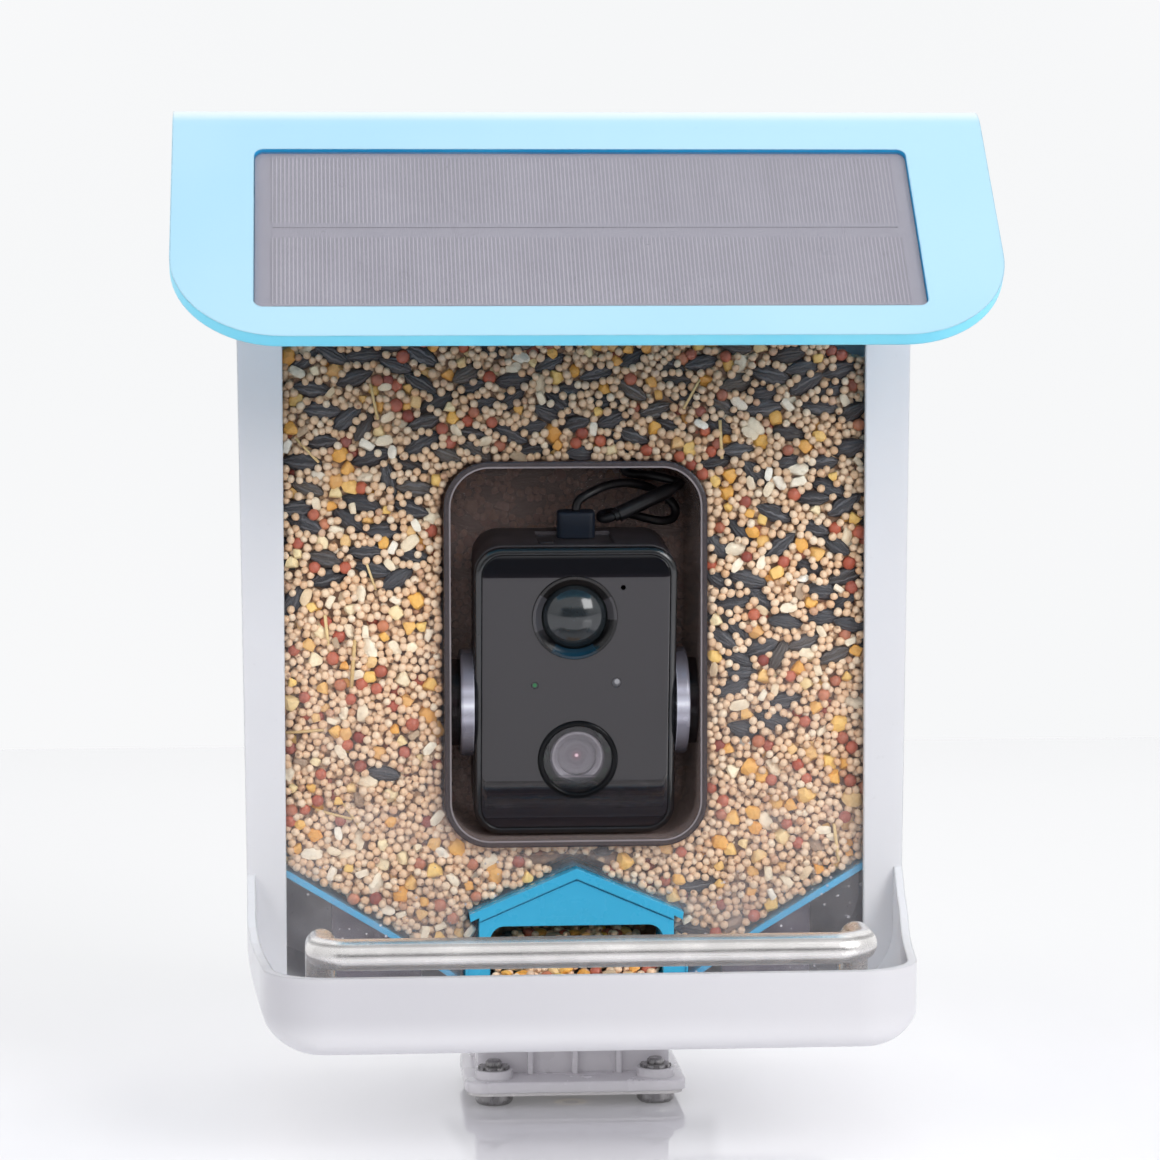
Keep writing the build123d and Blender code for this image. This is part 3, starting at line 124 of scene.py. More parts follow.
class Look:
    """A material under construction."""

    def __init__(self, name, tree=None):
        self.tc = None
        self.tree = tree
        if tree:
            return
        self.mat = bpy.data.materials.new(name)
        self.mat.use_nodes = True
        self.tree = self.mat.node_tree
        self.tree.nodes.clear()
        self.out = self.tree.nodes.new("ShaderNodeOutputMaterial")

    def node(self, kind, **props):
        n = self.tree.nodes.new("ShaderNode" + kind)
        for k, v in props.items():
            setattr(n, k, v)
        return n

    def put(self, socket, value):
        if value is None:
            return
        if isinstance(value, bpy.types.NodeSocket):
            self.tree.links.new(value, socket)
        else:
            socket.default_value = value

    @property
    def co(self):
        if self.tc is None:
            self.tc = self.node("TexCoord")
        return self.tc.outputs["Object"]

    @property
    def normal_local(self):
        self.co
        return self.tc.outputs["Normal"]

    def scaled(self, sx, sy, sz, vector=None, loc=(0, 0, 0), rot=(0, 0, 0)):
        m = self.node("Mapping")
        self.put(m.inputs["Vector"], vector or self.co)
        m.inputs["Location"].default_value = loc
        m.inputs["Rotation"].default_value = rot
        m.inputs["Scale"].default_value = (sx, sy, sz)
        return m.outputs[0]

    def noise(self, scale, detail=3.0, rough=0.5, distort=0.0, vector=None, color=False):
        n = self.node("TexNoise")
        self.put(n.inputs["Vector"], vector or self.co)
        n.inputs["Scale"].default_value = scale
        n.inputs["Detail"].default_value = detail
        n.inputs["Roughness"].default_value = rough
        n.inputs["Distortion"].default_value = distort
        return n.outputs["Color" if color else "Fac"]

    def voronoi(self, scale, feature="F1", out="Distance", vector=None, randomness=1.0):
        n = self.node("TexVoronoi", feature=feature)
        self.put(n.inputs["Vector"], vector or self.co)
        n.inputs["Scale"].default_value = scale
        n.inputs["Randomness"].default_value = randomness
        return n.outputs[out]

    def ramp(self, fac, stops, smooth=False):
        n = self.node("ValToRGB")
        n.color_ramp.interpolation = "EASE" if smooth else "LINEAR"
        while len(n.color_ramp.elements) > 1:
            n.color_ramp.elements.remove(n.color_ramp.elements[-1])
        first = True
        for pos, col in stops:
            if not isinstance(col, (tuple, list)):
                col = (col, col, col, 1.0)
            if first:
                e = n.color_ramp.elements[0]
                e.position = pos
                first = False
            else:
                e = n.color_ramp.elements.new(pos)
            e.color = col
        self.put(n.inputs["Fac"], fac)
        return n.outputs["Color"]

    def math(self, op, a, b=None, c=None, clamp=False):
        n = self.node("Math", operation=op, use_clamp=clamp)
        self.put(n.inputs[0], a)
        if b is not None:
            self.put(n.inputs[1], b)
        if c is not None:
            self.put(n.inputs[2], c)
        return n.outputs[0]

    def span(self, value, lo, hi, a=0.0, b=1.0, smooth=True):
        """value from lo..hi mapped to a..b, clamped."""
        n = self.node("MapRange", interpolation_type="SMOOTHSTEP" if smooth else "LINEAR")
        n.clamp = True
        self.put(n.inputs["Value"], value)
        for k, v in (("From Min", lo), ("From Max", hi), ("To Min", a), ("To Max", b)):
            n.inputs[k].default_value = v
        return n.outputs[0]

    def mix(self, fac, a, b, blend="MIX"):
        n = self.node("Mix", data_type="RGBA", blend_type=blend)
        n.clamp_factor = True
        self.put(n.inputs[0], fac)
        self.put(n.inputs[6], a)
        self.put(n.inputs[7], b)
        return n.outputs[2]

    def xyz(self, vector=None):
        n = self.node("SeparateXYZ")
        self.put(n.inputs[0], vector or self.co)
        return n.outputs

    def bump(self, height, strength, distance, normal=None):
        n = self.node("Bump")
        n.inputs["Strength"].default_value = strength
        n.inputs["Distance"].default_value = distance
        self.put(n.inputs["Height"], height)
        self.put(n.inputs["Normal"], normal)
        return n.outputs[0]

    def bevel(self, radius, samples=4):
        n = self.node("Bevel", samples=samples)
        n.inputs["Radius"].default_value = radius
        return n.outputs[0]

    def from_point(self, p):
        """Distance in metres from a point."""
        n = self.node("VectorMath", operation="DISTANCE")
        self.put(n.inputs[0], self.co)
        n.inputs[1].default_value = tuple(p)
        return n.outputs["Value"]

    def from_outline(self, half_x, mid_z, half_z, radius):
        """Distance in metres from an upright rounded rectangle, below zero inside it."""
        x, y, z = self.xyz()
        qx = self.math("SUBTRACT", self.math("ABSOLUTE", x), half_x - radius)
        qz = self.math("SUBTRACT", self.math("ABSOLUTE", self.math("SUBTRACT", z, mid_z)), half_z - radius)
        px, pz = self.math("MAXIMUM", qx, 0.0), self.math("MAXIMUM", qz, 0.0)
        far = self.math("SQRT", self.math("ADD", self.math("MULTIPLY", px, px), self.math("MULTIPLY", pz, pz)))
        near = self.math("MINIMUM", self.math("MAXIMUM", qx, qz), 0.0)
        return self.math("SUBTRACT", self.math("ADD", far, near), radius)

    def sheen_of_glass(self, base=0.04):
        """Share of light that a clear sheet mirrors, the same from both of its sides."""
        w = self.node("LayerWeight")
        w.inputs["Blend"].default_value = 0.5
        return self.math("ADD", self.math("MULTIPLY", self.math("POWER", w.outputs["Facing"], 5.0), 1.0 - base), base, clamp=True)

    def edge(self, radius=0.0007, samples=4):
        """1 along convex and concave edges, 0 on flats."""
        b = self.bevel(radius, samples)
        g = self.node("NewGeometry")
        d = self.node("VectorMath", operation="DOT_PRODUCT")
        self.put(d.inputs[0], b)
        self.put(d.inputs[1], g.outputs["Normal"])
        return self.span(d.outputs["Value"], 0.995, 0.90, 0.0, 1.0)

    def principled(self, color, rough=0.5, normal=None, metal=0.0, **more):
        p = self.node("BsdfPrincipled")
        self.put(p.inputs["Base Color"], color)
        self.put(p.inputs["Roughness"], rough)
        self.put(p.inputs["Metallic"], metal)
        self.put(p.inputs["Normal"], normal)
        for k, v in more.items():
            self.put(p.inputs[k.replace("_", " ")], v)
        return p.outputs[0]

    def blend_shaders(self, fac, a, b):
        n = self.node("MixShader")
        self.put(n.inputs[0], fac)
        self.put(n.inputs[1], a)
        self.put(n.inputs[2], b)
        return n.outputs[0]

    def done(self, shader):
        self.put(self.out.inputs["Surface"], shader)
        return self.mat


def plastic(name, color, rough=0.35, vary=0.03, grain=2600, grain_h=0.12, edge_tint=None, edge_r=0.0006, sss=0.0, sss_color=None, scuff=0.1, spec=0.5, smooth_r=None, coat=0.0, tone=None):
    """Moulded plastic: fine grain, slow colour variation, scuffs in the gloss, paler rubbed edges."""
    k = Look(name)
    slow = k.noise(14, 3, 0.55)
    c = k.mix(k.span(slow, 0.35, 0.65), tuple(v * (1 - vary) for v in color[:3]) + (1,), tuple(min(1, v * (1 + vary * 0.6)) for v in color[:3]) + (1,))
    specks = k.noise(420, 2, 0.7)
    c = k.mix(k.span(specks, 0.68, 0.80, 0, 0.10), c, tuple(v * 0.55 for v in color[:3]) + (1,))
    e = k.edge(edge_r, 3)
    wear = k.math("MULTIPLY", e, k.span(k.noise(180, 3, 0.6), 0.42, 0.62, 0.15, 0.75))
    c = k.mix(wear, c, edge_tint or tuple(min(1, v * 1.10 + 0.02) for v in color[:3]) + (1,))
    streak = k.noise(1.0, 4, 0.6, 0.4, k.scaled(60, 60, 900, rot=(0.3, 0.5, 0.2)))
    r = k.math("ADD", k.span(k.noise(55, 4, 0.6), 0.3, 0.7, rough - 0.05, rough + 0.06), k.span(streak, 0.62, 0.74, 0.0, scuff))
    h = k.math("ADD", k.math("MULTIPLY", k.noise(grain, 2, 0.5), 0.6), k.math("MULTIPLY", k.noise(grain * 0.18, 2, 0.5), 0.5))
    n = k.bump(h, grain_h, 0.0002, k.bevel(smooth_r or edge_r, 3))
    if tone:
        c = tone(k, c)
    s = k.principled(c, r, n, Specular_IOR_Level=spec, Coat_Weight=coat, Coat_Roughness=0.06)
    if sss:
        p = s.node
        p.inputs["Subsurface Weight"].default_value = sss
        p.inputs["Subsurface Radius"].default_value = sss_color or (0.004, 0.004, 0.004)
        p.inputs["Subsurface Scale"].default_value = 1.0
    return k.done(s)


def steel(name, base=(0.66, 0.655, 0.65), rough=0.24, brush=None, tint=None, metal=1.0, reflection_bands=None):
    """Steel with fine drawn lines, small scratches and faint smears."""
    k = Look(name)
    lines = k.noise(1.0, 3, 0.6, 0.0, k.scaled(*(brush or (400, 5200, 5200))))
    smear = k.noise(70, 4, 0.6)
    c = k.mix(k.span(smear, 0.35, 0.7), tuple(v * 0.90 for v in base) + (1,), tuple(min(1, v * 1.05) for v in base) + (1,))
    if tint:
        c = k.mix(k.span(k.noise(240, 3, 0.6), 0.55, 0.75, 0, 0.6), c, tint)
    r = k.math("ADD", k.span(lines, 0.3, 0.7, rough - 0.06, rough + 0.07), k.span(smear, 0.5, 0.8, 0, 0.08))
    n = k.bump(lines, 0.05, 0.0001, k.bevel(0.0003, 3))
    if reflection_bands:
        # painted reflection: colour scaled by a ramp over how far the surface faces up
        up = k.span(k.xyz(k.normal_local)[2], -1.0, 1.0, 0.0, 1.0, smooth=False)
        c = k.mix(1.0, c, k.ramp(up, [(at, (v, v, v, 1)) for at, v in reflection_bands], smooth=True), "MULTIPLY")
    return k.done(k.principled(c, r, n, metal))


def rubber(name, color=(0.012, 0.012, 0.014), rough=0.55, grain=3200):
    k = Look(name)
    d = k.noise(300, 4, 0.65)
    c = k.mix(k.span(d, 0.55, 0.8, 0, 0.5), color + (1,), tuple(min(1, v * 2.4 + 0.01) for v in color) + (1,))
    n = k.bump(k.noise(grain, 2, 0.5), 0.25, 0.0002, k.bevel(0.0003, 3))
    return k.done(k.principled(c, k.span(d, 0.3, 0.7, rough - 0.1, rough + 0.1), n))


def dress(mat, *names):
    for name in names:
        o = N[name]
        o.data.materials.clear()
        o.data.materials.append(mat)


# ---------------------------------------------------------------- stage
def quad(name, corners):
    me = bpy.data.meshes.new(name)
    me.from_pydata(corners, [], [(0, 1, 2, 3)])
    o = bpy.data.objects.new(name, me)
    scene.collection.objects.link(o)
    o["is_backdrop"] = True
    return o


floor = quad("table", [(-2.6, -0.62, 0), (2.6, -0.62, 0), (2.6, 0.86, 0), (-2.6, 0.86, 0)])
k = Look("table_gloss")
streaks = k.noise(1.0, 3, 0.5, 0.2, k.scaled(14, 3, 1))
c = k.mix(k.span(streaks, 0.3, 0.7), srgb(236, 235, 239), srgb(241, 240, 243))
# painted light: the table glows near the object, so shadows there stay pale; a darker band is painted before the
# bracket, where the glow is held back. Further back the table is paler
x, y, z = k.xyz()
round_it = k.span(k.from_point((0.0, -0.01, 0.0)), 0.25, 0.07)
band = k.span(k.math("SUBTRACT", k.math("ABSOLUTE", x), k.math("MULTIPLY", y, 0.10)), 0.0430, 0.0375)
band = k.math("MULTIPLY", k.math("MULTIPLY", band, k.span(y, 0.0, -0.03)), k.span(y, -0.21, -0.12))
glow = k.math("MULTIPLY", round_it, k.math("SUBTRACT", 1.0, k.math("MULTIPLY", band, k.span(y, -0.10, -0.03, 0.0, 0.92))))
c = k.mix(k.math("MULTIPLY", k.math("MULTIPLY", band, round_it), 0.5), c, srgb(226, 225, 229))
c = k.mix(k.span(y, 0.02, 0.30), c, srgb(244, 244, 245))
floor.data.materials.append(k.done(k.principled(c, k.span(streaks, 0.3, 0.7, 0.035, 0.06), k.bump(k.noise(900, 2), 0.008, 0.0001), Specular_IOR_Level=0.5,
    Emission_Color=(1.0, 1.0, 1.0, 1), Emission_Strength=k.math("MULTIPLY", glow, 0.075))))

back = quad("backdrop", [(-6, 2.6, -1.5), (6, 2.6, -1.5), (6, 2.6, 4.5), (-6, 2.6, 4.5)])
k = Look("backdrop_paper")
cloud = k.noise(0.8, 2, 0.5)
k2 = k.node("Emission")
k.put(k2.inputs["Color"], k.mix(k.span(cloud, 0.3, 0.7), srgb(246, 247, 248), srgb(250, 250, 251)))
k2.inputs["Strength"].default_value = 1.0
back.data.materials.append(k.done(k2.outputs[0]))

world = bpy.data.worlds.new("studio")
scene.world = world
world.use_nodes = True
wt = world.node_tree
wt.nodes.clear()
wout = wt.nodes.new("ShaderNodeOutputWorld")
sky = Look(None, wt)
direction = sky.xyz(sky.node("TexCoord").outputs["Generated"])
height = sky.ramp(sky.span(direction[2], -1.0, 1.0, smooth=False), [(0.40, (0.30, 0.30, 0.32, 1)), (0.50, (0.93, 0.94, 0.95, 1)), (0.80, (1.05, 1.05, 1.06, 1))])
# the room in front of the object is dark between the lamps
ahead = sky.math("MULTIPLY", sky.span(direction[1], -0.70, -0.88), sky.span(sky.math("ABSOLUTE", direction[2]), 0.30, 0.18))
room = sky.mix(ahead, height, (0.050, 0.050, 0.056, 1))
bg = sky.node("Background")
sky.put(bg.inputs["Color"], room)
bg.inputs["Strength"].default_value = 0.74
pale = sky.node("Background")
sky.put(pale.inputs["Color"], height)
pale.inputs["Strength"].default_value = 0.98
sky.put(wout.inputs["Surface"], sky.blend_shaders(sky.node("LightPath").outputs["Is Camera Ray"], bg.outputs[0], pale.outputs[0]))


def softbox(name, at, aim, w, h, power, color=(1, 1, 1), mirrored=True, only=None):
    """Large soft lamp; only names the pieces it lights, where it isn't for all."""
    d = bpy.data.lights.new(name, "AREA")
    d.shape = "RECTANGLE"
    d.size, d.size_y = w, h
    d.energy = power
    d.color = color
    o = bpy.data.objects.new(name, d)
    scene.collection.objects.link(o)
    o.location = at
    o.rotation_euler = (Vector(aim) - Vector(at)).to_track_quat("-Z", "Y").to_euler()
    o.visible_glossy = mirrored
    if only:
        lit = bpy.data.collections.new(name + "_lit")
        for p in only:
            lit.objects.link(p)
        o.light_linking.receiver_collection = lit
    return o


softbox("top", (0.1, 0.1, 1.5), (0, 0, 0.1), 1.6, 1.2, 3)
softbox("front_right", (1.1, -1.2, 0.9), (0, 0, 0.15), 0.9, 0.9, 15)
softbox("front_left", (-1.3, -1.1, 0.8), (0, 0, 0.15), 0.8, 1.0, 6, mirrored=False)

# ---------------------------------------------------------------- cords
CAMERA_ROUTE = [
    (0.00120, 0.01547, 0.17156), (0.00120, 0.01510, 0.17418), (0.00500, 0.01585, 0.17640), (0.01000, 0.01825, 0.17860),
    (0.01600, 0.02105, 0.17940), (0.02240, 0.02345, 0.17820), (0.02800, 0.02605, 0.17520), (0.03160, 0.02745, 0.17160),
    (0.03080, 0.02605, 0.16820), (0.02660, 0.02445, 0.16760), (0.02140, 0.02385, 0.16890), (0.01600, 0.02405, 0.17040),
    (0.01120, 0.02265, 0.17060), (0.00800, 0.01925, 0.16980), (0.00942, 0.01532, 0.16852), (0.01230, 0.01585, 0.16980),
]
SOLAR_ROUTE = [
    (0.02980, 0.01905, 0.17760), (0.03214, 0.01948, 0.17864), (0.03190, 0.02245, 0.17930), (0.02890, 0.02465, 0.18000),
    (0.02440, 0.02645, 0.18100), (0.01980, 0.02825, 0.18120), (0.01600, 0.02925, 0.18190), (0.01600, 0.02925, 0.18840),
    (0.01610, 0.03385, 0.19280), (0.01590, 0.04225, 0.19440), (0.01610, 0.05225, 0.19480), (0.01590, 0.05945, 0.19740),
    (0.01610, 0.06275, 0.20500), (0.01600, 0.06305, 0.21700), (0.01585, 0.06285, 0.23600), (0.01600, 0.06305, 0.25300),
]
LEAD_R = 0.0013


def spline_curve(name, points):
    """Curve of one smooth open spline with these control points."""
    cu = bpy.data.curves.new(name, "CURVE")
    cu.dimensions = "3D"
    cu.resolution_u = 12
    s = cu.splines.new("NURBS")
    s.points.add(len(points) - 1)
    for p, q in zip(s.points, points):
        p.co = (*q, 1.0)
    s.order_u = 3
    s.use_endpoint_u = True
    o = bpy.data.objects.new(name, cu)
    scene.collection.objects.link(o)
    return o


def line_points(points):
    """Points of the smooth line, read from its evaluated mesh."""
    o = spline_curve("line_reader", points)
    bpy.context.view_layer.update()
    me = bpy.data.meshes.new_from_object(o.evaluated_get(bpy.context.evaluated_depsgraph_get()))
    pts = [tuple(v.co) for v in me.vertices]
    cu = o.data
    bpy.data.objects.remove(o)
    bpy.data.curves.remove(cu)
    bpy.data.meshes.remove(me)
    return pts


def tube_mesh(name, pts, radius, sides=14):
    """Closed mesh tube along a line; radius is a number or a function of the share of the way."""
    P = [Vector(p) for p in pts]
    T = [(P[min(i + 1, len(P) - 1)] - P[max(i - 1, 0)]).normalized() for i in range(len(P))]
    ref = Vector((0, 0, 1)) if abs(T[0].z) < 0.8 else Vector((1, 0, 0))
    u = ref.cross(T[0]).normalized()
    verts, faces = [], []
    for i, (p, t) in enumerate(zip(P, T)):
        u = (u - t * u.dot(t)).normalized()
        v = t.cross(u)
        r = radius(i / (len(P) - 1)) if callable(radius) else radius
        for j in range(sides):
            a = 2 * math.pi * j / sides
            verts.append(p + (u * math.cos(a) + v * math.sin(a)) * r)
    for i in range(len(P) - 1):
        for j in range(sides):
            a, b = i * sides + j, i * sides + (j + 1) % sides
            faces.append((a, b, b + sides, a + sides))
    faces.append(tuple(reversed(range(sides))))
    faces.append(tuple(range((len(P) - 1) * sides, len(P) * sides)))
    me = bpy.data.meshes.new(name)
    me.from_pydata([tuple(v) for v in verts], [], faces)
    me.polygons.foreach_set("use_smooth", [len(p.vertices) == 4 for p in me.polygons])
    o = bpy.data.objects.new(name, me)
    scene.collection.objects.link(o)
    return o


sheath = Look("cable_sheath")
n1 = sheath.noise(260, 3, 0.6)
sheath_mat = sheath.done(sheath.principled(
    sheath.mix(sheath.span(n1, 0.4, 0.75), srgb(22, 22, 25), srgb(40, 39, 43)),
    sheath.span(n1, 0.3, 0.7, 0.30, 0.42),
    sheath.bump(sheath.noise(2800, 2), 0.15, 0.0001)))

cam_pts = line_points(CAMERA_ROUTE)
camera_cord = tube_mesh("camera_cord", cam_pts, LEAD_R)
camera_cord.data.materials.append(sheath_mat)
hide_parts("camera_lead")
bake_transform(camera_cord)

sol_pts = line_points(SOLAR_ROUTE)
solar_cord = tube_mesh("solar_cord", sol_pts, LEAD_R)
solar_cord.data.materials.append(sheath_mat)
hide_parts("solar_lead")
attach(solar_cord, "root")

# ---------------------------------------------------------------- materials of the CAD nodes
def tray_front_shade(k, c):
    """Painted shade: the tray's front is painted greyer than the walls, more at the left than at the right, and less at
    its foot.
    """
    x, y, z = k.xyz()
    low = k.math("MULTIPLY", k.span(z, 0.060, 0.050), k.span(y, -0.045, -0.060))
    c = k.mix(low, c, k.mix(k.span(x, -0.06, 0.09), srgb(208, 207, 212), srgb(220, 219, 223)))
    return k.mix(k.math("MULTIPLY", low, k.span(z, 0.042, 0.034)), c, srgb(226, 225, 229))


white = plastic("white_satin", srgb(229, 229, 233), 0.34, 0.012, 2600, 0.10, srgb(242, 242, 245), 0.0008, sss=0.12, sss_color=(0.003, 0.003, 0.003), tone=tray_front_shade)
dress(white, "housing", "back_panel", "window_retainers", "cable_duct")
bracket_mat = plastic("bracket_satin", srgb(240, 236, 241), 0.26, 0.03, 2600, 0.10, srgb(245, 244, 248), 0.0006, sss=0.45, sss_color=(0.008, 0.008, 0.008))
dress(bracket_mat, "mount_bracket")

BLUE = srgb(66, 186, 232)
blue = plastic("blue_gloss", BLUE, 0.26, 0.03, 2600, 0.08, srgb(120, 215, 245), 0.0005)
dress(blue, "outlet_hood", "roof_liner", "lead_clips")
k = Look("funnel_blue")
x, y, z = k.xyz()
fines = k.math("MULTIPLY", k.span(k.noise(700, 4, 0.7), 0.50, 0.64), k.span(k.noise(70, 3), 0.38, 0.60, 0.2, 1.0))
top_face = k.span(k.xyz(k.normal_local)[2], 0.5, 0.8)
c = k.mix(k.span(k.noise(30, 2), 0.4, 0.6), srgb(58, 168, 214), srgb(70, 178, 222))
c = k.mix(k.math("MULTIPLY", fines, top_face), c, srgb(206, 184, 158))
front_edge = k.span(y, 0.0060, 0.0045)
# painted shade: the underside and the end faces are painted dark purple-grey; the front edge keeps the blue
under = k.span(k.xyz(k.normal_local)[2], -0.3, -0.6)
c = k.mix(k.math("MAXIMUM", under, k.span(k.math("ABSOLUTE", k.xyz(k.normal_local)[1]), 0.5, 0.8)), c, srgb(104, 96, 110))
c = k.mix(k.math("MULTIPLY", front_edge, k.span(k.math("ABSOLUTE", k.xyz(k.normal_local)[1]), 0.5, 0.8)), c, srgb(62, 170, 216))
dress(k.done(k.principled(c, k.span(k.noise(55, 4, 0.6), 0.3, 0.7, 0.26, 0.36), k.bump(k.noise(2600, 2), 0.08, 0.0002, k.bevel(0.0005, 3)))), "left_funnel_plate", "right_funnel_plate")

# roof: painted light: pale where light falls on the top, with a painted highlight along the ridge; deeper at its rim
# and inside the recess
k = Look("roof_blue")
nl = k.xyz(k.normal_local)
topmask = k.span(nl[2], 0.12, 0.55)
slow = k.noise(9, 3, 0.5)
rx, ry, rz = k.xyz()
soft_blue = k.mix(k.span(slow, 0.35, 0.65), srgb(166, 213, 236), srgb(174, 217, 238))
# painted highlight: a pale band along the ridge
soft_blue = k.mix(k.span(rz, 0.2815, 0.2850), soft_blue, srgb(226, 238, 243))
rim_blue = k.mix(k.span(k.noise(30, 2), 0.4, 0.6), srgb(124, 226, 255), srgb(132, 230, 255))
recess_blue = k.mix(k.span(k.noise(30, 2), 0.4, 0.6), srgb(8, 164, 228), srgb(14, 172, 234))
in_recess = k.math("MULTIPLY", k.span(k.math("ABSOLUTE", rx), 0.0925, 0.0915), k.span(rz, 0.2268, 0.2275))
in_recess = k.math("MULTIPLY", in_recess, k.span(ry, -0.016, -0.020))
c = k.mix(topmask, k.mix(in_recess, rim_blue, recess_blue), soft_blue)
dusty = k.noise(380, 3, 0.7)
c = k.mix(k.span(dusty, 0.66, 0.78, 0, 0.18), c, srgb(150, 190, 210))
wear = k.math("MULTIPLY", k.edge(0.0007, 3), k.span(k.noise(120, 3, 0.6), 0.40, 0.62, 0.1, 0.5))
c = k.mix(wear, c, srgb(205, 238, 250))
rough = k.math("ADD", k.span(k.noise(40, 4, 0.6), 0.3, 0.7, 0.30, 0.40), k.span(k.noise(1.0, 4, 0.6, 0.3, k.scaled(70, 900, 60)), 0.63, 0.75, 0, 0.12))
n = k.bump(k.noise(2400, 2), 0.10, 0.0002, k.bevel(0.0008, 3))
roof_mat = k.done(k.principled(c, rough, n))
dress(roof_mat, "roof_shell")

# solar panel
k = Look("solar_cells")
x, y, z = k.xyz()
lines = k.math("PINGPONG", k.math("MULTIPLY", x, 1000 / 1.112), 0.5)
fine = k.math("MULTIPLY", k.span(lines, 0.26, 0.50), k.span(k.noise(16, 2), 0.35, 0.65, 0.55, 1.0))
along = k.noise(1.0, 2, 0.5, 0.0, k.scaled(120, 20, 20))
base = k.mix(k.span(along, 0.3, 0.7), srgb(142, 139, 149), srgb(150, 147, 157))
patch = k.noise(26, 3, 0.5)
base = k.mix(k.span(patch, 0.4, 0.7, 0, 0.35), base, srgb(156, 153, 163))
z_low, z_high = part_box("solar_cells")[0][2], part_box("solar_cells")[1][2]
share = k.span(z, z_low, z_high, 0.0, 1.0, smooth=False)
strip = k.math("MULTIPLY", k.span(share, 0.440, 0.452), k.span(share, 0.548, 0.536))
side = k.span(k.math("ABSOLUTE", x), 0.0858, 0.0860)
plain_part = k.math("MAXIMUM", k.math("MAXIMUM", strip, side), k.math("MAXIMUM", k.span(share, 0.022, 0.016), k.span(share, 0.978, 0.984)))
c = k.mix(fine, base, srgb(198, 196, 205))
c = k.mix(plain_part, c, srgb(160, 158, 168))
cells_mat = k.done(k.principled(c, k.span(fine, 0.2, 0.8, 0.42, 0.32)))
dress(cells_mat, "solar_cells", "solar_substrate")


def clear_sheet(name, tint=(0.99, 0.995, 0.995), dust_col=(0.74, 0.71, 0.75, 1), dust=None, rough=0.015, ior=1.45, haze=0.0, wave=0.01):
    """Clear plastic: see-through, with the gloss of a real sheet and a pale diffuse veil from dust, which on the front
    window also holds a painted reflection.
    """
    k = Look(name)
    tr = k.node("BsdfTransparent")
    k.put(tr.inputs["Color"], (*tint, 1))
    gl = k.node("BsdfGlossy")
    k.put(gl.inputs["Roughness"], rough)
    k.put(gl.inputs["Normal"], k.bump(k.noise(28, 2), wave, 0.001))
    base = ((ior - 1) / (ior + 1)) ** 2
    s = k.blend_shaders(k.sheen_of_glass(base), tr.outputs[0], gl.outputs[0])
    df = k.node("BsdfDiffuse")
    k.put(df.inputs["Color"], dust_col)
    amount = dust(k) if dust else haze
    s = k.blend_shaders(amount, s, df.outputs[0])
    return k.done(s)


def window_dust_and_reflection(k):
    x, y, z = k.xyz()
    # painted reflection: a pale veil grows towards the bottom, where the sheet would mirror the table; a further veil
    # lies at the very bottom, and dust clouds, specks and grains on top
    low = k.span(z, 0.165, 0.080, 0.0, 0.085)
    corner = k.span(z, 0.072, 0.045, 0.0, 0.05)
    cloud = k.span(k.noise(45, 4, 0.6), 0.35, 0.7, 0.35, 1.3)
    specks = k.span(k.noise(900, 2, 0.6), 0.70, 0.76, 0.0, 0.35)
    specks = k.math("MULTIPLY", specks, k.span(z, 0.14, 0.05, 0.05, 1.0))
    grains = k.span(k.voronoi(330), 0.16, 0.10, 0.0, 0.8)
    grains = k.math("MULTIPLY", grains, k.span(k.noise(60, 2), 0.5, 0.62))
    grains = k.math("MULTIPLY", grains, k.span(z, 0.085, 0.055))
    a = k.math("MULTIPLY", k.math("ADD", low, corner), cloud)
    return k.math("ADD", k.math("ADD", a, specks), grains, clamp=True)


dress(clear_sheet("window_sheet", dust=window_dust_and_reflection), "front_window")


def cover_dust(k):
    cloud = k.span(k.noise(22, 4, 0.6), 0.3, 0.75, 0.02, 0.12)
    specks = k.span(k.noise(600, 2, 0.6), 0.72, 0.78, 0.0, 0.3)
    smudge = k.span(k.noise(34, 5, 0.65, 0.8), 0.62, 0.74, 0.0, 0.10)
    return k.math("ADD", k.math("ADD", cloud, specks), smudge, clamp=True)


dress(clear_sheet("solar_cover_sheet", (0.96, 0.96, 0.97), (0.55, 0.54, 0.60, 1), cover_dust, 0.16, wave=0.0), "solar_cover")


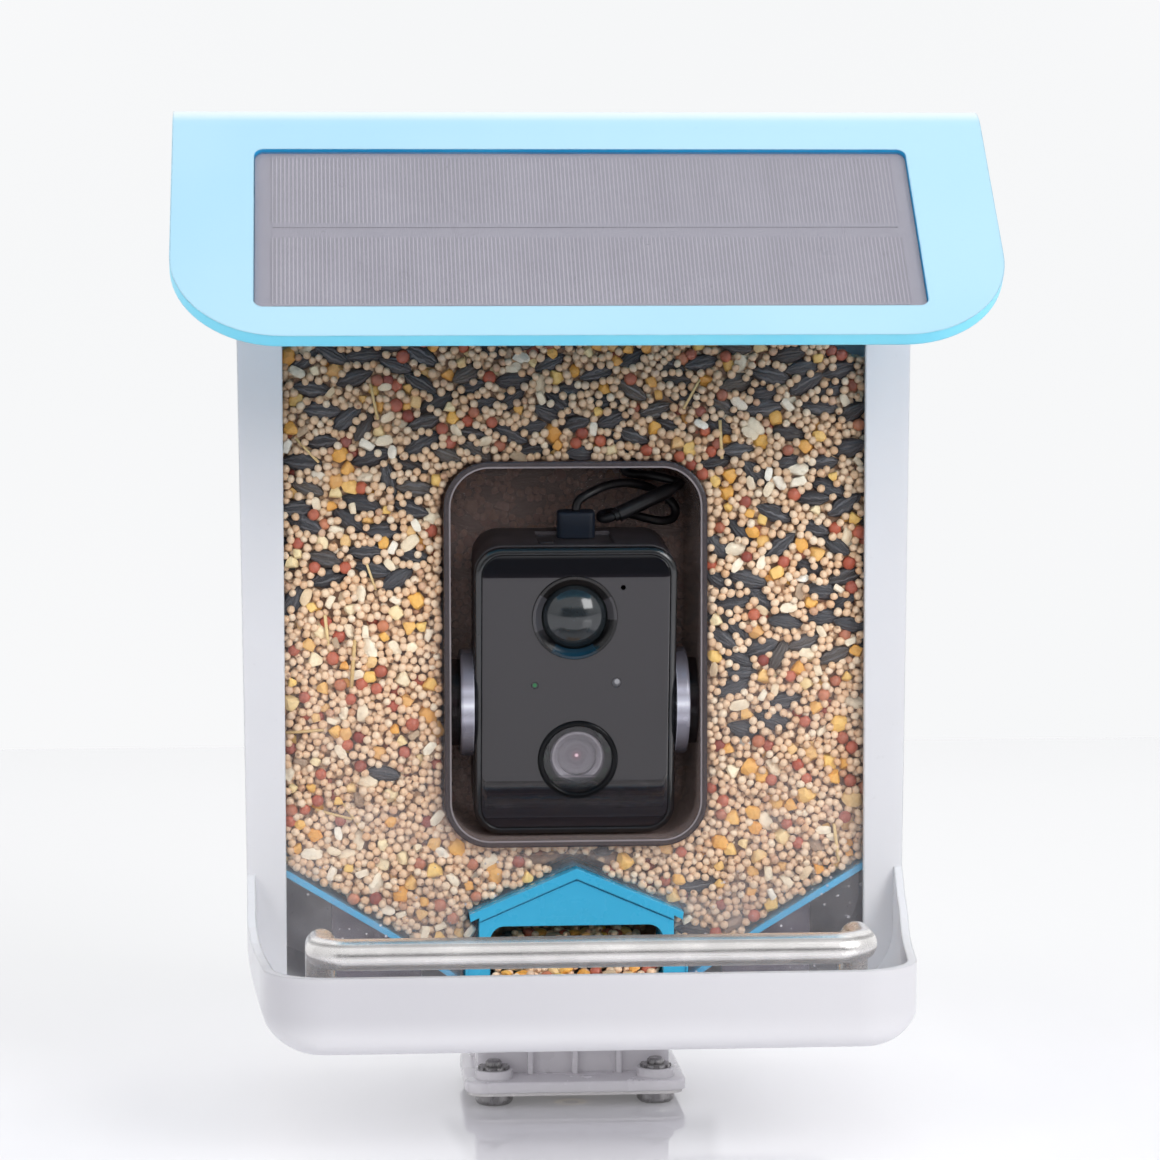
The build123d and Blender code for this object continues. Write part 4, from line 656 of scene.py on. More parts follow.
def smoke(name, tint, fac=0.10, rough=0.10, body=(0.03, 0.025, 0.024), rim=None):
    """Smoke-tinted clear plastic; rim is the y that its outline's edge lies before, where painted lines run along the
    outline.
    """
    k = Look(name)
    tr = k.node("BsdfTransparent")
    slow = k.noise(25, 3, 0.5)
    k.put(tr.inputs["Color"], k.mix(k.span(slow, 0.3, 0.7), tuple(v * 0.93 for v in tint) + (1,), (*tint, 1)))
    n = k.bump(k.noise(700, 3, 0.5), 0.04, 0.0002, k.bevel(0.0006, 3))
    f = k.math("ADD", k.math("MULTIPLY", k.sheen_of_glass(0.0), 0.7), fac, clamp=True)
    color = k.mix(k.span(k.noise(300, 3, 0.6), 0.4, 0.7), body + (1,), tuple(v * 1.3 for v in body) + (1,))
    if rim is not None:
        x, y, z = k.xyz()
        # painted light: with a rim, the wall is painted lighter towards the bottom and darker at the top
        high = k.ramp(k.span(z, 0.075, 0.187, 0.0, 1.0, smooth=False), [(0.0, tuple(v * 2.1 for v in body) + (1,)), (0.30, tuple(v * 1.75 for v in body) + (1,)), (0.62, tuple(v * 1.3 for v in body) + (1,)), (0.85, tuple(v * 0.68 for v in body) + (1,)), (1.0, tuple(v * 0.60 for v in body) + (1,))])
        color = k.mix(0.85, color, high)
        # painted highlight: near the front, bands along the outline: brown inside, a pale highlight line, grey, then
        # dark outwards
        d = k.from_outline(0.0369, 0.13125, 0.05455, 0.0124)
        band = k.ramp(k.span(d, -0.0022, 0.0010, 0.0, 1.0, smooth=False), [
            (0.0, srgb(56, 46, 44)), (0.26, srgb(62, 53, 51)), (0.34, srgb(126, 119, 122)), (0.42, srgb(110, 104, 107)), (0.50, srgb(56, 52, 54)),
            (0.74, srgb(60, 55, 57)), (0.84, srgb(44, 41, 46)), (1.0, srgb(36, 34, 41))])
        near = k.span(y, rim + 0.0016, rim + 0.0008)
        color = k.mix(near, color, band)
        f = k.math("MAXIMUM", f, k.math("MULTIPLY", near, 0.82))
    pr = k.principled(color, k.span(k.noise(80, 4, 0.6), 0.3, 0.7, rough, rough + 0.08), n)
    return k.done(k.blend_shaders(f, tr.outputs[0], pr))


dress(smoke("smoke_wall", (0.80, 0.71, 0.70), 0.33, body=(0.225, 0.178, 0.168), rim=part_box("camera_tub")[0][1]), "camera_tub")
dress(smoke("smoke_boss", (0.6, 0.52, 0.52), 0.3, body=(0.05, 0.045, 0.05)), "tub_pivot_bosses")

# a drawn bar with painted reflection bands round it: lighter and darker by which way the surface faces, with a darker
# line along the upper flank
dress(steel("bar_steel", (0.90, 0.875, 0.86), 0.25, (40, 3200, 3200), metal=0.80, reflection_bands=[
    (0.0, 0.80), (0.10, 0.88), (0.25, 1.0), (0.40, 0.98), (0.50, 0.88), (0.60, 1.0), (0.76, 1.0), (0.81, 0.62), (0.845, 0.46), (0.875, 0.70), (0.91, 1.0)]), "perch_bar")
zinc = steel("zinc_steel", (0.36, 0.35, 0.35), 0.30, (3000, 3000, 600), srgb(90, 84, 80))
dress(zinc, "mount_screws", "lock_washers", "bracket_screws", "back_panel_screws", "perch_screws", "liner_screws", "camera_screws", "hinge_pins", "usb_socket", "microphone", "pir_sensor")
dress(steel("turned_brass", (0.78, 0.58, 0.28), 0.28, (900, 900, 5200)), "thread_insert")
dress(rubber("black_rubber"), "tub_grommet", "roof_seal", "camera_gasket")
dress(rubber("pale_pad", (0.62, 0.60, 0.60), 0.6), "mount_pad")
dress(plastic("black_moulding", srgb(26, 26, 29), 0.42, 0.05, 2600, 0.15, srgb(60, 60, 64)), "junction_box", "speaker", "button_switch")
dress(plastic("slate_moulding", srgb(30, 38, 52), 0.42, 0.05, 2600, 0.15, srgb(46, 54, 68)), "usb_plug")
dress(sheath_mat, "roof_lead", "lead_connector", "camera_lead", "solar_lead")

# feeder's camera
dress(plastic("shell_dark", srgb(46, 42, 45), 0.36, 0.04, 2400, 0.12, srgb(70, 70, 76), 0.0006), "camera_rear_shell", "power_button")
k = Look("disc_satin")
x, y, z = k.xyz()
# painted highlight: the discs are painted pale at the pivot's height, darkening above and below it, and their edges are
# painted pale; they are also darker at their outer ends
off = k.math("ABSOLUTE", k.math("SUBTRACT", z, AXIS[1] + 0.0005))
c = k.ramp(k.span(off, 0.0, 0.016, 0.0, 1.0, smooth=False), [(0.0, srgb(172, 173, 182)), (0.07, srgb(140, 140, 151)), (0.16, srgb(114, 113, 124)), (0.26, srgb(132, 131, 143)), (0.38, srgb(94, 92, 102)), (0.75, srgb(74, 72, 79)), (1.0, srgb(60, 57, 64))])
end = k.span(k.math("ABSOLUTE", x), 0.0345, 0.0349)
c = k.mix(k.math("MULTIPLY", end, 0.45), c, srgb(60, 58, 68))
c = k.mix(k.span(k.noise(300, 3, 0.6), 0.55, 0.75, 0, 0.3), c, srgb(90, 88, 98))
c = k.mix(k.math("MULTIPLY", k.edge(0.0005, 3), 0.5), c, srgb(176, 176, 190))
dress(k.done(k.principled(c, k.span(k.noise(60, 3), 0.3, 0.7, 0.20, 0.30), k.bump(k.noise(900, 2), 0.03, 0.0002, k.bevel(0.0003, 3)), Coat_Weight=0.3, Coat_Roughness=0.08)), "pivot_discs")


def gloss(name, color, rough=0.04, prints=0.10, edge_col=None, edge_r=0.0004, coat=0.0, ior=1.5):
    """Polished plastic with faint fingerprints and dust in the gloss."""
    k = Look(name)
    smear = k.noise(38, 5, 0.6, 0.6)
    r = k.math("ADD", k.span(smear, 0.50, 0.72, rough, rough + prints), k.span(k.noise(1500, 2), 0.72, 0.8, 0, 0.3))
    c = k.mix(k.span(k.noise(900, 2, 0.6), 0.72, 0.80, 0, 0.20), color, srgb(120, 118, 122))
    # painted highlight: with edge_col, the edges are painted in that paler colour
    if edge_col:
        c = k.mix(k.math("MULTIPLY", k.edge(edge_r, 3), 0.7), c, edge_col)
    n = k.bump(k.noise(60, 2), 0.01, 0.001, k.bevel(edge_r, 3))
    s = k.principled(c, r, n, IOR=ior, Coat_Weight=coat, Coat_Roughness=0.03)
    return k.done(s)


dress(gloss("bezel_gloss", srgb(20, 21, 24), 0.07, 0.08, srgb(66, 70, 76), 0.0008, ior=1.7), "camera_bezel")

# the front panel is polished and crowned: its outer 5 mm fall away towards the bezel
k = Look("panel_gloss")
x, y, z = k.xyz()
top_z, low_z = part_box("camera_front_panel")[1][2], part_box("camera_front_panel")[0][2]
fall = []
for away, wide, steep in (
        (k.math("SUBTRACT", z, top_z - 0.0082), 0.0082, 21.0),
        (k.math("SUBTRACT", low_z + 0.0050, z), 0.0050, 26.0),
        (k.math("SUBTRACT", k.math("ABSOLUTE", x), 0.0250), 0.0020, 60.0)):
    a = k.math("MAXIMUM", away, 0.0)
    fall.append(k.math("MULTIPLY", k.math("MULTIPLY", a, a), -steep))
crown = k.bump(k.math("ADD", k.math("ADD", fall[0], fall[1]), fall[2]), 1.0, 1.0, k.bevel(0.0004, 3))
smear = k.noise(38, 5, 0.6, 0.6)
prints = k.math("ADD", k.span(smear, 0.50, 0.72, 0.03, 0.09), k.span(k.noise(1500, 2), 0.72, 0.8, 0, 0.3))
c = k.mix(k.span(k.noise(900, 2, 0.6), 0.74, 0.82, 0, 0.15), srgb(31, 27, 33), srgb(110, 108, 112))
c = k.mix(k.span(z, top_z - 0.0072, top_z - 0.0052), c, srgb(20, 20, 24))
dress(k.done(k.principled(c, prints, crown, IOR=1.68)), "camera_front_panel")

k = Look("ring_gloss")
hub = camp(-0.4, 27.7, 14.0)
x, y, z = k.xyz()
turn = k.math("ARCTAN2", k.math("SUBTRACT", z, hub.z), k.math("SUBTRACT", x, hub.x))
clock = k.math("DIVIDE", k.math("ADD", turn, math.pi), 2 * math.pi)  # 0 at nine o'clock, running through six, three and twelve
# painted reflections: the ring is painted in sectors round its centre: grey at the left and right, teal below, dark
# above
fields = k.ramp(clock, [
    (0.0, srgb(71, 70, 74)), (0.052, srgb(68, 67, 71)), (0.056, srgb(40, 39, 42)), (0.108, srgb(26, 26, 28)), (0.112, srgb(7, 7, 9)), (0.150, srgb(9, 10, 14)),
    (0.155, srgb(9, 36, 50)), (0.25, srgb(13, 45, 62)), (0.345, srgb(7, 32, 45)), (0.350, srgb(6, 6, 7)), (0.490, srgb(12, 11, 13)), (0.496, srgb(60, 59, 62)),
    (0.585, srgb(65, 63, 67)), (0.592, srgb(18, 17, 18)), (0.75, srgb(35, 31, 30)), (0.900, srgb(23, 21, 21)), (0.906, srgb(63, 62, 66)), (1.0, srgb(71, 70, 74))])
rr = k.from_point(hub)
sleeve = k.span(rr, 0.00985, 0.00965)
c = k.mix(sleeve, fields, srgb(9, 10, 12))
c = k.mix(k.span(k.noise(900, 2), 0.66, 0.8, 0, 0.2), c, srgb(96, 98, 102))
dress(k.done(k.principled(c, k.span(k.noise(60, 3), 0.3, 0.7, 0.10, 0.18), k.bevel(0.0004, 3), IOR=1.5)), "pir_ring")
dress(gloss("lens_ring_gloss", srgb(7, 7, 9), 0.08, 0.06, srgb(52, 62, 74), ior=1.28), "lens_ring")

# motion sensor's dome: smoky moulded lens with fine facets inside
k = Look("dome_gloss")
c = k.mix(k.span(k.noise(260, 3, 0.6), 0.35, 0.65), srgb(31, 36, 40), srgb(39, 44, 47))
dress(k.done(k.principled(c, k.span(k.noise(40, 3), 0.3, 0.7, 0.10, 0.16), k.bump(k.noise(60, 2), 0.01, 0.001), IOR=1.7)), "pir_dome")

# lens: coated glass over a stepped cone painted in rings, with a painted glint as a small bright dot in the middle;
# dark bluish low on it, crossed by a pale chord
dress(clear_sheet("lens_sheet", (0.93, 0.92, 0.94), (0.20, 0.19, 0.21, 1), None, 0.02, 1.5, 0.03, wave=0.0), "lens_window")
k = Look("lens_optics")
eye = camp(0.8, -14.2, 8.0)
x, y, z = k.xyz()
dx = k.math("SUBTRACT", x, eye.x)
dz = k.math("SUBTRACT", z, eye.z)
rad = k.math("SQRT", k.math("ADD", k.math("MULTIPLY", dx, dx), k.math("MULTIPLY", dz, dz)))
disc = k.ramp(k.span(rad, 0.0, 0.010, 0.0, 1.0, smooth=False), [
    (0.0, srgb(250, 236, 236)), (0.035, srgb(236, 200, 206)), (0.07, srgb(103, 85, 90)), (0.13, srgb(115, 100, 105)), (0.16, srgb(96, 93, 96)),
    (0.40, srgb(106, 104, 107)), (0.66, srgb(115, 113, 116)), (0.70, srgb(134, 132, 134)), (0.74, srgb(61, 60, 64)), (1.0, srgb(56, 55, 59))])
low_part = k.span(dz, -0.0052, -0.0058)
disc = k.mix(low_part, disc, srgb(12, 18, 24))
chord = k.math("MULTIPLY", k.span(dz, -0.0063, -0.0061), k.span(dz, -0.0057, -0.0058))
disc = k.mix(chord, disc, srgb(92, 88, 92))
disc = k.mix(k.span(k.noise(900, 2), 0.6, 0.8, 0, 0.2), disc, srgb(90, 88, 92))
dress(k.done(k.principled(disc, k.span(rad, 0.001, 0.006, 0.18, 0.38), k.bump(k.math("PINGPONG", rad, 0.0007), 0.3, 0.2))), "lens_barrel")

k = Look("led_green")
led = camp(-11.7, 7.9, 12.7)
near = k.span(k.from_point((led.x, led.y, led.z)), 0.0008, 0.0004)
near = k.math("MULTIPLY", near, k.span(k.noise(1500, 2), 0.2, 0.5, 0.6, 1.0))
dress(k.done(k.principled(k.mix(near, srgb(34, 34, 38), srgb(22, 84, 46)), 0.25)), "status_led")
k = Look("sensor_white")
# painted highlight: a pale spot just above and right of the sensor's centre on grey
sen = camp(11.7, 8.5, 12.8)
near = k.span(k.from_point((sen.x + 0.0002, sen.y, sen.z + 0.0003)), 0.0011, 0.0005)
dress(k.done(k.principled(k.mix(near, srgb(50, 50, 54), srgb(112, 112, 116)), k.span(k.noise(900, 2), 0.3, 0.7, 0.2, 0.35), k.bump(k.noise(2400, 2), 0.1, 0.0002))), "light_sensor")
k = Look("board_green")
tr = k.voronoi(420, "F1", "Distance")
dress(k.done(k.principled(k.mix(k.span(tr, 0.2, 0.5), srgb(22, 84, 44), srgb(10, 52, 28)), 0.35, k.bump(tr, 0.3, 0.0003))), "main_board", "port_board")
k = Look("cell_wrap")
x, y, z = k.xyz()
wrap = k.noise(90, 3)
dress(k.done(k.principled(k.mix(k.span(wrap, 0.4, 0.6), srgb(130, 140, 150), srgb(160, 168, 176)), k.span(wrap, 0.3, 0.7, 0.25, 0.4), k.bump(k.noise(500, 3), 0.2, 0.0002))), "battery_cells")


# ---------------------------------------------------------------- seeds
rng = random.Random(7)
MM = 0.001


def ico(level):
    bm = bmesh.new()
    bmesh.ops.create_icosphere(bm, subdivisions=level, radius=1.0)
    v = np.array([tuple(x.co) for x in bm.verts])
    f = np.array([[x.index for x in p.verts] for p in bm.faces])
    bm.free()
    return v, f


def octa():
    """Ball of 32 faces."""
    bm = bmesh.new()
    a = [(1, 0, 0), (-1, 0, 0), (0, 1, 0), (0, -1, 0), (0, 0, 1), (0, 0, -1)]
    vs = [bm.verts.new(p) for p in a]
    for i, j, l in ((0, 2, 4), (2, 1, 4), (1, 3, 4), (3, 0, 4), (2, 0, 5), (1, 2, 5), (3, 1, 5), (0, 3, 5)):
        bm.faces.new((vs[i], vs[j], vs[l]))
    bmesh.ops.subdivide_edges(bm, edges=bm.edges[:], cuts=1, use_grid_fill=True)
    bmesh.ops.triangulate(bm, faces=bm.faces[:])
    for v in bm.verts:
        v.co.normalize()
    bm.verts.index_update()
    v = np.array([tuple(x.co) for x in bm.verts])
    f = np.array([[x.index for x in p.verts] for p in bm.faces])
    bm.free()
    return v, f


def lathe(profile, sides, flat=1.0):
    """Closed body around X from (x, r) pairs; flat squeezes Z."""
    v, f = [(profile[0][0], 0, 0)], []
    for x, r in profile[1:-1]:
        for j in range(sides):
            a = 2 * math.pi * j / sides
            v.append((x, r * math.cos(a), r * math.sin(a) * flat))
    v.append((profile[-1][0], 0, 0))
    rings = len(profile) - 2
    for j in range(sides):
        b = (j + 1) % sides
        f.append((0, 1 + b, 1 + j))
        for i in range(rings - 1):
            p, q = 1 + i * sides, 1 + (i + 1) * sides
            f.append((p + j, p + b, q + b))
            f.append((p + j, q + b, q + j))
        p = 1 + (rings - 1) * sides
        f.append((len(v) - 1, p + j, p + b))
    return np.array(v, float), np.array(f)


ICO2, ICO1, OCTA = ico(2), ico(1), octa()
SUN = lathe([(-1, 0), (-0.93, 0.26), (-0.72, 0.62), (-0.35, 0.93), (0.05, 1.0), (0.42, 0.82), (0.74, 0.48), (0.94, 0.17), (1, 0)], 12, 0.62)


def chunk(seed, flat, rough, base=ICO2):
    """Broken kernel: a ball cut by a few planes and dented."""
    r = random.Random(seed)
    v = base[0].copy()
    v[:, 2] *= flat
    for _ in range(7):
        n = np.array([r.gauss(0, 1), r.gauss(0, 1), r.gauss(0, 1) * 0.6])
        n /= np.linalg.norm(n)
        d = r.uniform(0.45, 0.8) * (flat if abs(n[2]) > 0.8 else 1)
        over = v @ n - d
        v -= np.clip(over, 0, None)[:, None] * n * 0.92
    v += np.array([[r.uniform(-rough, rough) for _ in range(3)] for _ in v])
    return v, base[1]


CORN = [chunk(s, 0.72, 0.03) for s in (11, 12, 13, 14)]
CHIP = [chunk(s, 0.26, 0.03) for s in (21, 22, 23)]

KINDS = {  # half sizes in mm (along, across, thick), exclusion balls
    "millet": dict(size=(1.30, 1.24, 1.14), vary=0.12),
    "milo": dict(size=(1.95, 1.85, 1.55), vary=0.10),
    "sunflower": dict(size=(5.6, 2.7, 2.5), vary=0.12),
    "corn": dict(size=(3.0, 2.4, 2.0), vary=0.28),
    "chip": dict(size=(2.9, 2.1, 1.5), vary=0.25),
    "straw": dict(size=(5.5, 0.5, 0.4), vary=0.3),
}


class Packing:
    """Seeds laid against a wall of the hopper's contents without running into each other."""

    def __init__(self, bvh):
        self.bvh = bvh
        self.cell = 0.0042
        self.grid = {}
        self.placed = []  # kind, centre, axes (3x3 columns: along, across, normal), scale, level

    def clear(self, balls, loose):
        c = self.cell
        for x, y, z, r in balls:
            i, j, l = int(math.floor(x / c)), int(math.floor(y / c)), int(math.floor(z / c))
            for a in (i - 1, i, i + 1):
                for b in (j - 1, j, j + 1):
                    for d in (l - 1, l, l + 1):
                        for X, Y, Z, R in self.grid.get((a, b, d), ()):
                            s = (r + R) * loose
                            if (x - X) ** 2 + (y - Y) ** 2 + (z - Z) ** 2 < s * s:
                                return False
        return True

    def add(self, balls):
        c = self.cell
        for b in balls:
            self.grid.setdefault(tuple(int(math.floor(v / c)) for v in b[:3]), []).append(b)

    def attempt(self, kind, p, n, tangent, depth, loose, level, inside=0.80, tilt=12, keep=None):
        """p on the wall, n its normal pointing out of the seeds, tangent the way the seed points."""
        spec = KINDS[kind]
        s = 1 + rng.uniform(-1, 1) * spec["vary"]
        a, b, t = (v * s * MM for v in spec["size"])
        centre = p - n * (t + depth)
        tn = (n + Vector((rng.gauss(0, 1), rng.gauss(0, 1), rng.gauss(0, 1))) * math.tan(math.radians(tilt)) * 0.6).normalized()
        u = tangent - tn * tangent.dot(tn)
        if u.length < 1e-4:
            return False
        u.normalize()
        v = tn.cross(u)
        if a > 1.5 * t:
            m = a - t
            steps = 3 if a < 2.4 * t else 5
            balls = [((centre + u * m * q), t) for q in np.linspace(-1, 1, steps)]
            balls = [(c.x, c.y, c.z, r * (0.95 if abs(i - (steps - 1) / 2) < 1 else 0.72)) for i, (c, r) in enumerate(balls)]
        else:
            balls = [(centre.x, centre.y, centre.z, min(t * 1.02, b))]
        if keep and not keep(centre):
            return False
        if not self.clear(balls, loose):
            return False
        if inside:
            for x, y, z, r in balls:
                q = self.bvh.find_nearest((x, y, z))
                if q[0] is None or q[3] < r * inside:
                    return False
                if (Vector((x, y, z)) - q[0]).dot(q[1]) > 0:
                    return False
        self.add(balls)
        self.placed.append((kind, centre, (u, v, tn), s, level))
        return True


def wall_sampler(me, choose):
    """Random points on the triangles that choose(centre, normal) takes."""
    me.calc_loop_triangles()
    tris, areas = [], []
    for t in me.loop_triangles:
        a, b, c = (me.vertices[i].co.copy() for i in t.vertices)
        n = (b - a).cross(c - a)
        area = n.length / 2
        if area < 1e-9:
            continue
        n.normalize()
        if choose((a + b + c) / 3, n):
            tris.append((a, b, c, n))
            areas.append(area)
    total = sum(areas)
    acc = np.cumsum(areas) / total

    def draw():
        a, b, c, n = tris[int(np.searchsorted(acc, rng.random()))]
        r1, r2 = math.sqrt(rng.random()), rng.random()
        return a * (1 - r1) + b * (r1 * (1 - r2)) + c * (r1 * r2), n
    return draw, total


def welded(node):
    """Copy of a node's mesh with its seams joined."""
    me = N[node].data.copy()
    bm = bmesh.new()
    bm.from_mesh(me)
    bmesh.ops.remove_doubles(bm, verts=bm.verts[:], dist=1e-6)
    bmesh.ops.recalc_face_normals(bm, faces=bm.faces[:])
    bm.to_mesh(me)
    bm.free()
    return me


fill = welded("seed_fill")
bm = bmesh.new()
bm.from_mesh(fill)
tree = BVHTree.FromBMesh(bm)
bm.free()
pack = Packing(tree)

TUB_LOW, TUB_TOP, TUB_HALF = 0.0767, 0.1858, 0.0369


def front_wall(c, n):
    return n.y < -0.9 and c.y < 0.006


def tub_wall(c, n):
    return abs(c.x) < 0.0385 and 0.0745 < c.z < 0.1885 and c.y > 0.0045 and not front_wall(c, n) and c.y < 0.0555


def top_wall(c, n):
    return n.z > 0.3 and c.z > 0.2


front_draw, front_area = wall_sampler(fill, front_wall)
tub_draw, tub_area = wall_sampler(fill, tub_wall)
top_draw, top_area = wall_sampler(fill, top_wall)


def sun_edge(p):
    """Height above which the coarse mix lies; below it is mostly millet."""
    return 0.153 - 0.030 * min(1, max(0, (p.x + 0.05) / 0.11)) + 0.008 * math.sin(p.x * 90)


def sun_share(p):
    """How common the black seeds are at p."""
    edge = sun_edge(p)
    return 1.0 if p.z > edge else (0.25 if p.z > edge - 0.012 else 0.02)


def lie(n, flat=25):
    """A direction in the wall, mostly level."""
    a = rng.gauss(0, math.radians(flat)) + (math.pi if rng.random() < 0.5 else 0)
    h = Vector((1, 0, 0)) - n * n.x
    if h.length < 0.2:
        h = Vector((0, 1, 0)) - n * n.y
    h.normalize()
    return (h * math.cos(a) + n.cross(h) * math.sin(a)).normalized()


def under_tub(c):
    """The small empty wedge between the pocket's foot and the outlet's gable stays open."""
    return not (c.y < 0.010 and 0.0655 < c.z < TUB_LOW and abs(c.x) < 0.0215 * min(1, max(0, (c.z - 0.0655) / 0.0085)))


def fill_wall(draw, area, tries, level, loose, base_depth, spread, sun=sun_share, keep=None):
    """Large seeds first, millet last."""
    per = area * 1e6
    plan = [("sunflower", 0.034, 25), ("straw", 0.0008, 90), ("corn", 0.028, 90), ("chip", 0.026, 90), ("milo", 0.030, 90), ("millet", 1.7, 90)]
    for kind, dens, flat in plan:
        count = int(per * dens * tries)
        for _ in range(count):
            p, n = draw()
            if kind == "sunflower" and rng.random() > sun(p):
                continue
            if kind in ("corn", "chip", "milo") and rng.random() > (1.0 if p.z > sun_edge(p) else 0.42):
                continue
            pack.attempt(kind, p, n, lie(n, flat), base_depth + rng.random() ** 2 * spread, loose, level, keep=keep, tilt=12 if kind != "millet" else 60)


fill_wall(front_draw, front_area, 1.35, 0, 0.83, 0.0, 0.0012, keep=under_tub)
fill_wall(front_draw, front_area, 0.9, 1, 0.80, 0.0016, 0.0030, keep=under_tub)
fill_wall(tub_draw, tub_area, 0.7, 2, 0.82, 0.0, 0.0015)
fill_wall(top_draw, top_area, 1.0, 1, 0.82, 0.0, 0.0015, sun=lambda p: 0.9)
print("seeds in the hopper", len(pack.placed))

# mound that runs out of the outlet
MOUND = [(-0.034, 0.0352), (-0.0268, 0.0364), (-0.0128, 0.0392), (-0.0028, 0.0442), (0.0072, 0.0485), (0.0208, 0.0503)]


def mound_height(x, y):
    ys = [p[0] for p in MOUND]
    zs = [p[1] for p in MOUND]
    h = float(np.interp(y, ys, zs))
    side = max(0.0, (abs(x) - 0.014) / 0.0104)
    return 0.0342 + (h - 0.0342) * (1 - 0.35 * side * side)


def mound(count, kinds, loose, drop):
    for _ in range(count):
        x, y = rng.uniform(-0.0238, 0.0238), rng.uniform(-0.0262, 0.0205)
        kind = rng.choices(*kinds)[0]
        spec = KINDS[kind]["size"]
        t = spec[2] * MM
        z = max(0.0341 + t, mound_height(x, y) - t - drop * rng.random())
        if abs(x) + spec[0] * MM * 0.8 > 0.0245:
            continue
        s = mound_height(x, y + 0.001) - mound_height(x, y - 0.001)
        n = Vector((rng.gauss(0, 0.12), -s / 0.002, 1)).normalized()
        p = Vector((x, y, z + t))
        a = rng.uniform(0, 2 * math.pi)
        tangent = Vector((math.cos(a), math.sin(a), 0))
        pack.attempt(kind, p, Vector((0, 0, 1)) * 0.6 + n * 0.4, tangent, 0.0, loose, 0, inside=None, tilt=14)


mound(240, (["sunflower", "corn", "chip"], [2, 9, 5]), 0.86, 0.001)
mound(300, (["milo", "corn"], [6, 2]), 0.84, 0.001)
mound(5200, (["millet", "millet", "milo"], [30, 10, 1]), 0.84, 0.0030)
for _ in range(70):  # strays on the tray's floor beside the mound
    x = rng.choice((-1, 1)) * (0.0245 + abs(rng.gauss(0, 0.005)))
    y = rng.uniform(-0.034, -0.008)
    kind = rng.choices(["millet", "milo", "chip", "corn"], [14, 2, 1, 1])[0]
    t = KINDS[kind]["size"][2] * MM
    a = rng.uniform(0, 6.28)
    pack.attempt(kind, Vector((x, y, 0.0341 + 2 * t)), Vector((0, 0, 1)), Vector((math.cos(a), math.sin(a), 0)), 0.0, 0.95, 0, inside=None, tilt=6)


def seed_piece(name, items, shapes, mat):
    """One mesh of many seeds. The colour attribute holds two random numbers and the seed's own coordinates."""
    V, F, A, B = [], [], [], []
    base = 0
    for kind, c, (u, v, w), s, level in items:
        sv, sf = shapes[rng.randrange(len(shapes))]
        a, b, t = (q * s * MM for q in KINDS[kind]["size"])
        if kind == "chip":
            t *= 2.2
        R = np.array([tuple(u), tuple(v), tuple(w)])
        local = sv * np.array([a, b, t])
        V.append(local @ R + np.array(tuple(c)))
        F.append(sf + base)
        base += len(sv)
        q1, q2 = rng.random(), rng.random()
        A.append(np.tile((q1, q2, 0.0, 1.0), (len(sv), 1)))
        B.append(sv)
    V, F, A, B = np.concatenate(V), np.concatenate(F), np.concatenate(A), np.concatenate(B)
    me = bpy.data.meshes.new(name)
    me.vertices.add(len(V))
    me.vertices.foreach_set("co", V.astype(np.float32).ravel())
    me.loops.add(F.size)
    me.loops.foreach_set("vertex_index", F.astype(np.int32).ravel())
    me.polygons.add(len(F))
    me.polygons.foreach_set("loop_start", np.arange(0, F.size, 3, dtype=np.int32))
    me.update(calc_edges=True)
    me.polygons.foreach_set("use_smooth", np.full(len(F), kindly(items[0][0])))
    at = me.attributes.new("pick", "FLOAT_COLOR", "POINT")
    at.data.foreach_set("color", A.astype(np.float32).ravel())
    bt = me.attributes.new("own", "FLOAT_VECTOR", "POINT")
    bt.data.foreach_set("vector", B.astype(np.float32).ravel())
    me.validate()
    o = bpy.data.objects.new(name, me)
    scene.collection.objects.link(o)
    me.materials.append(mat)
    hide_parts("seed_fill", "tray_seeds")
    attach(o, "root")
    return o


def kindly(kind):
    return kind not in ("corn", "chip")


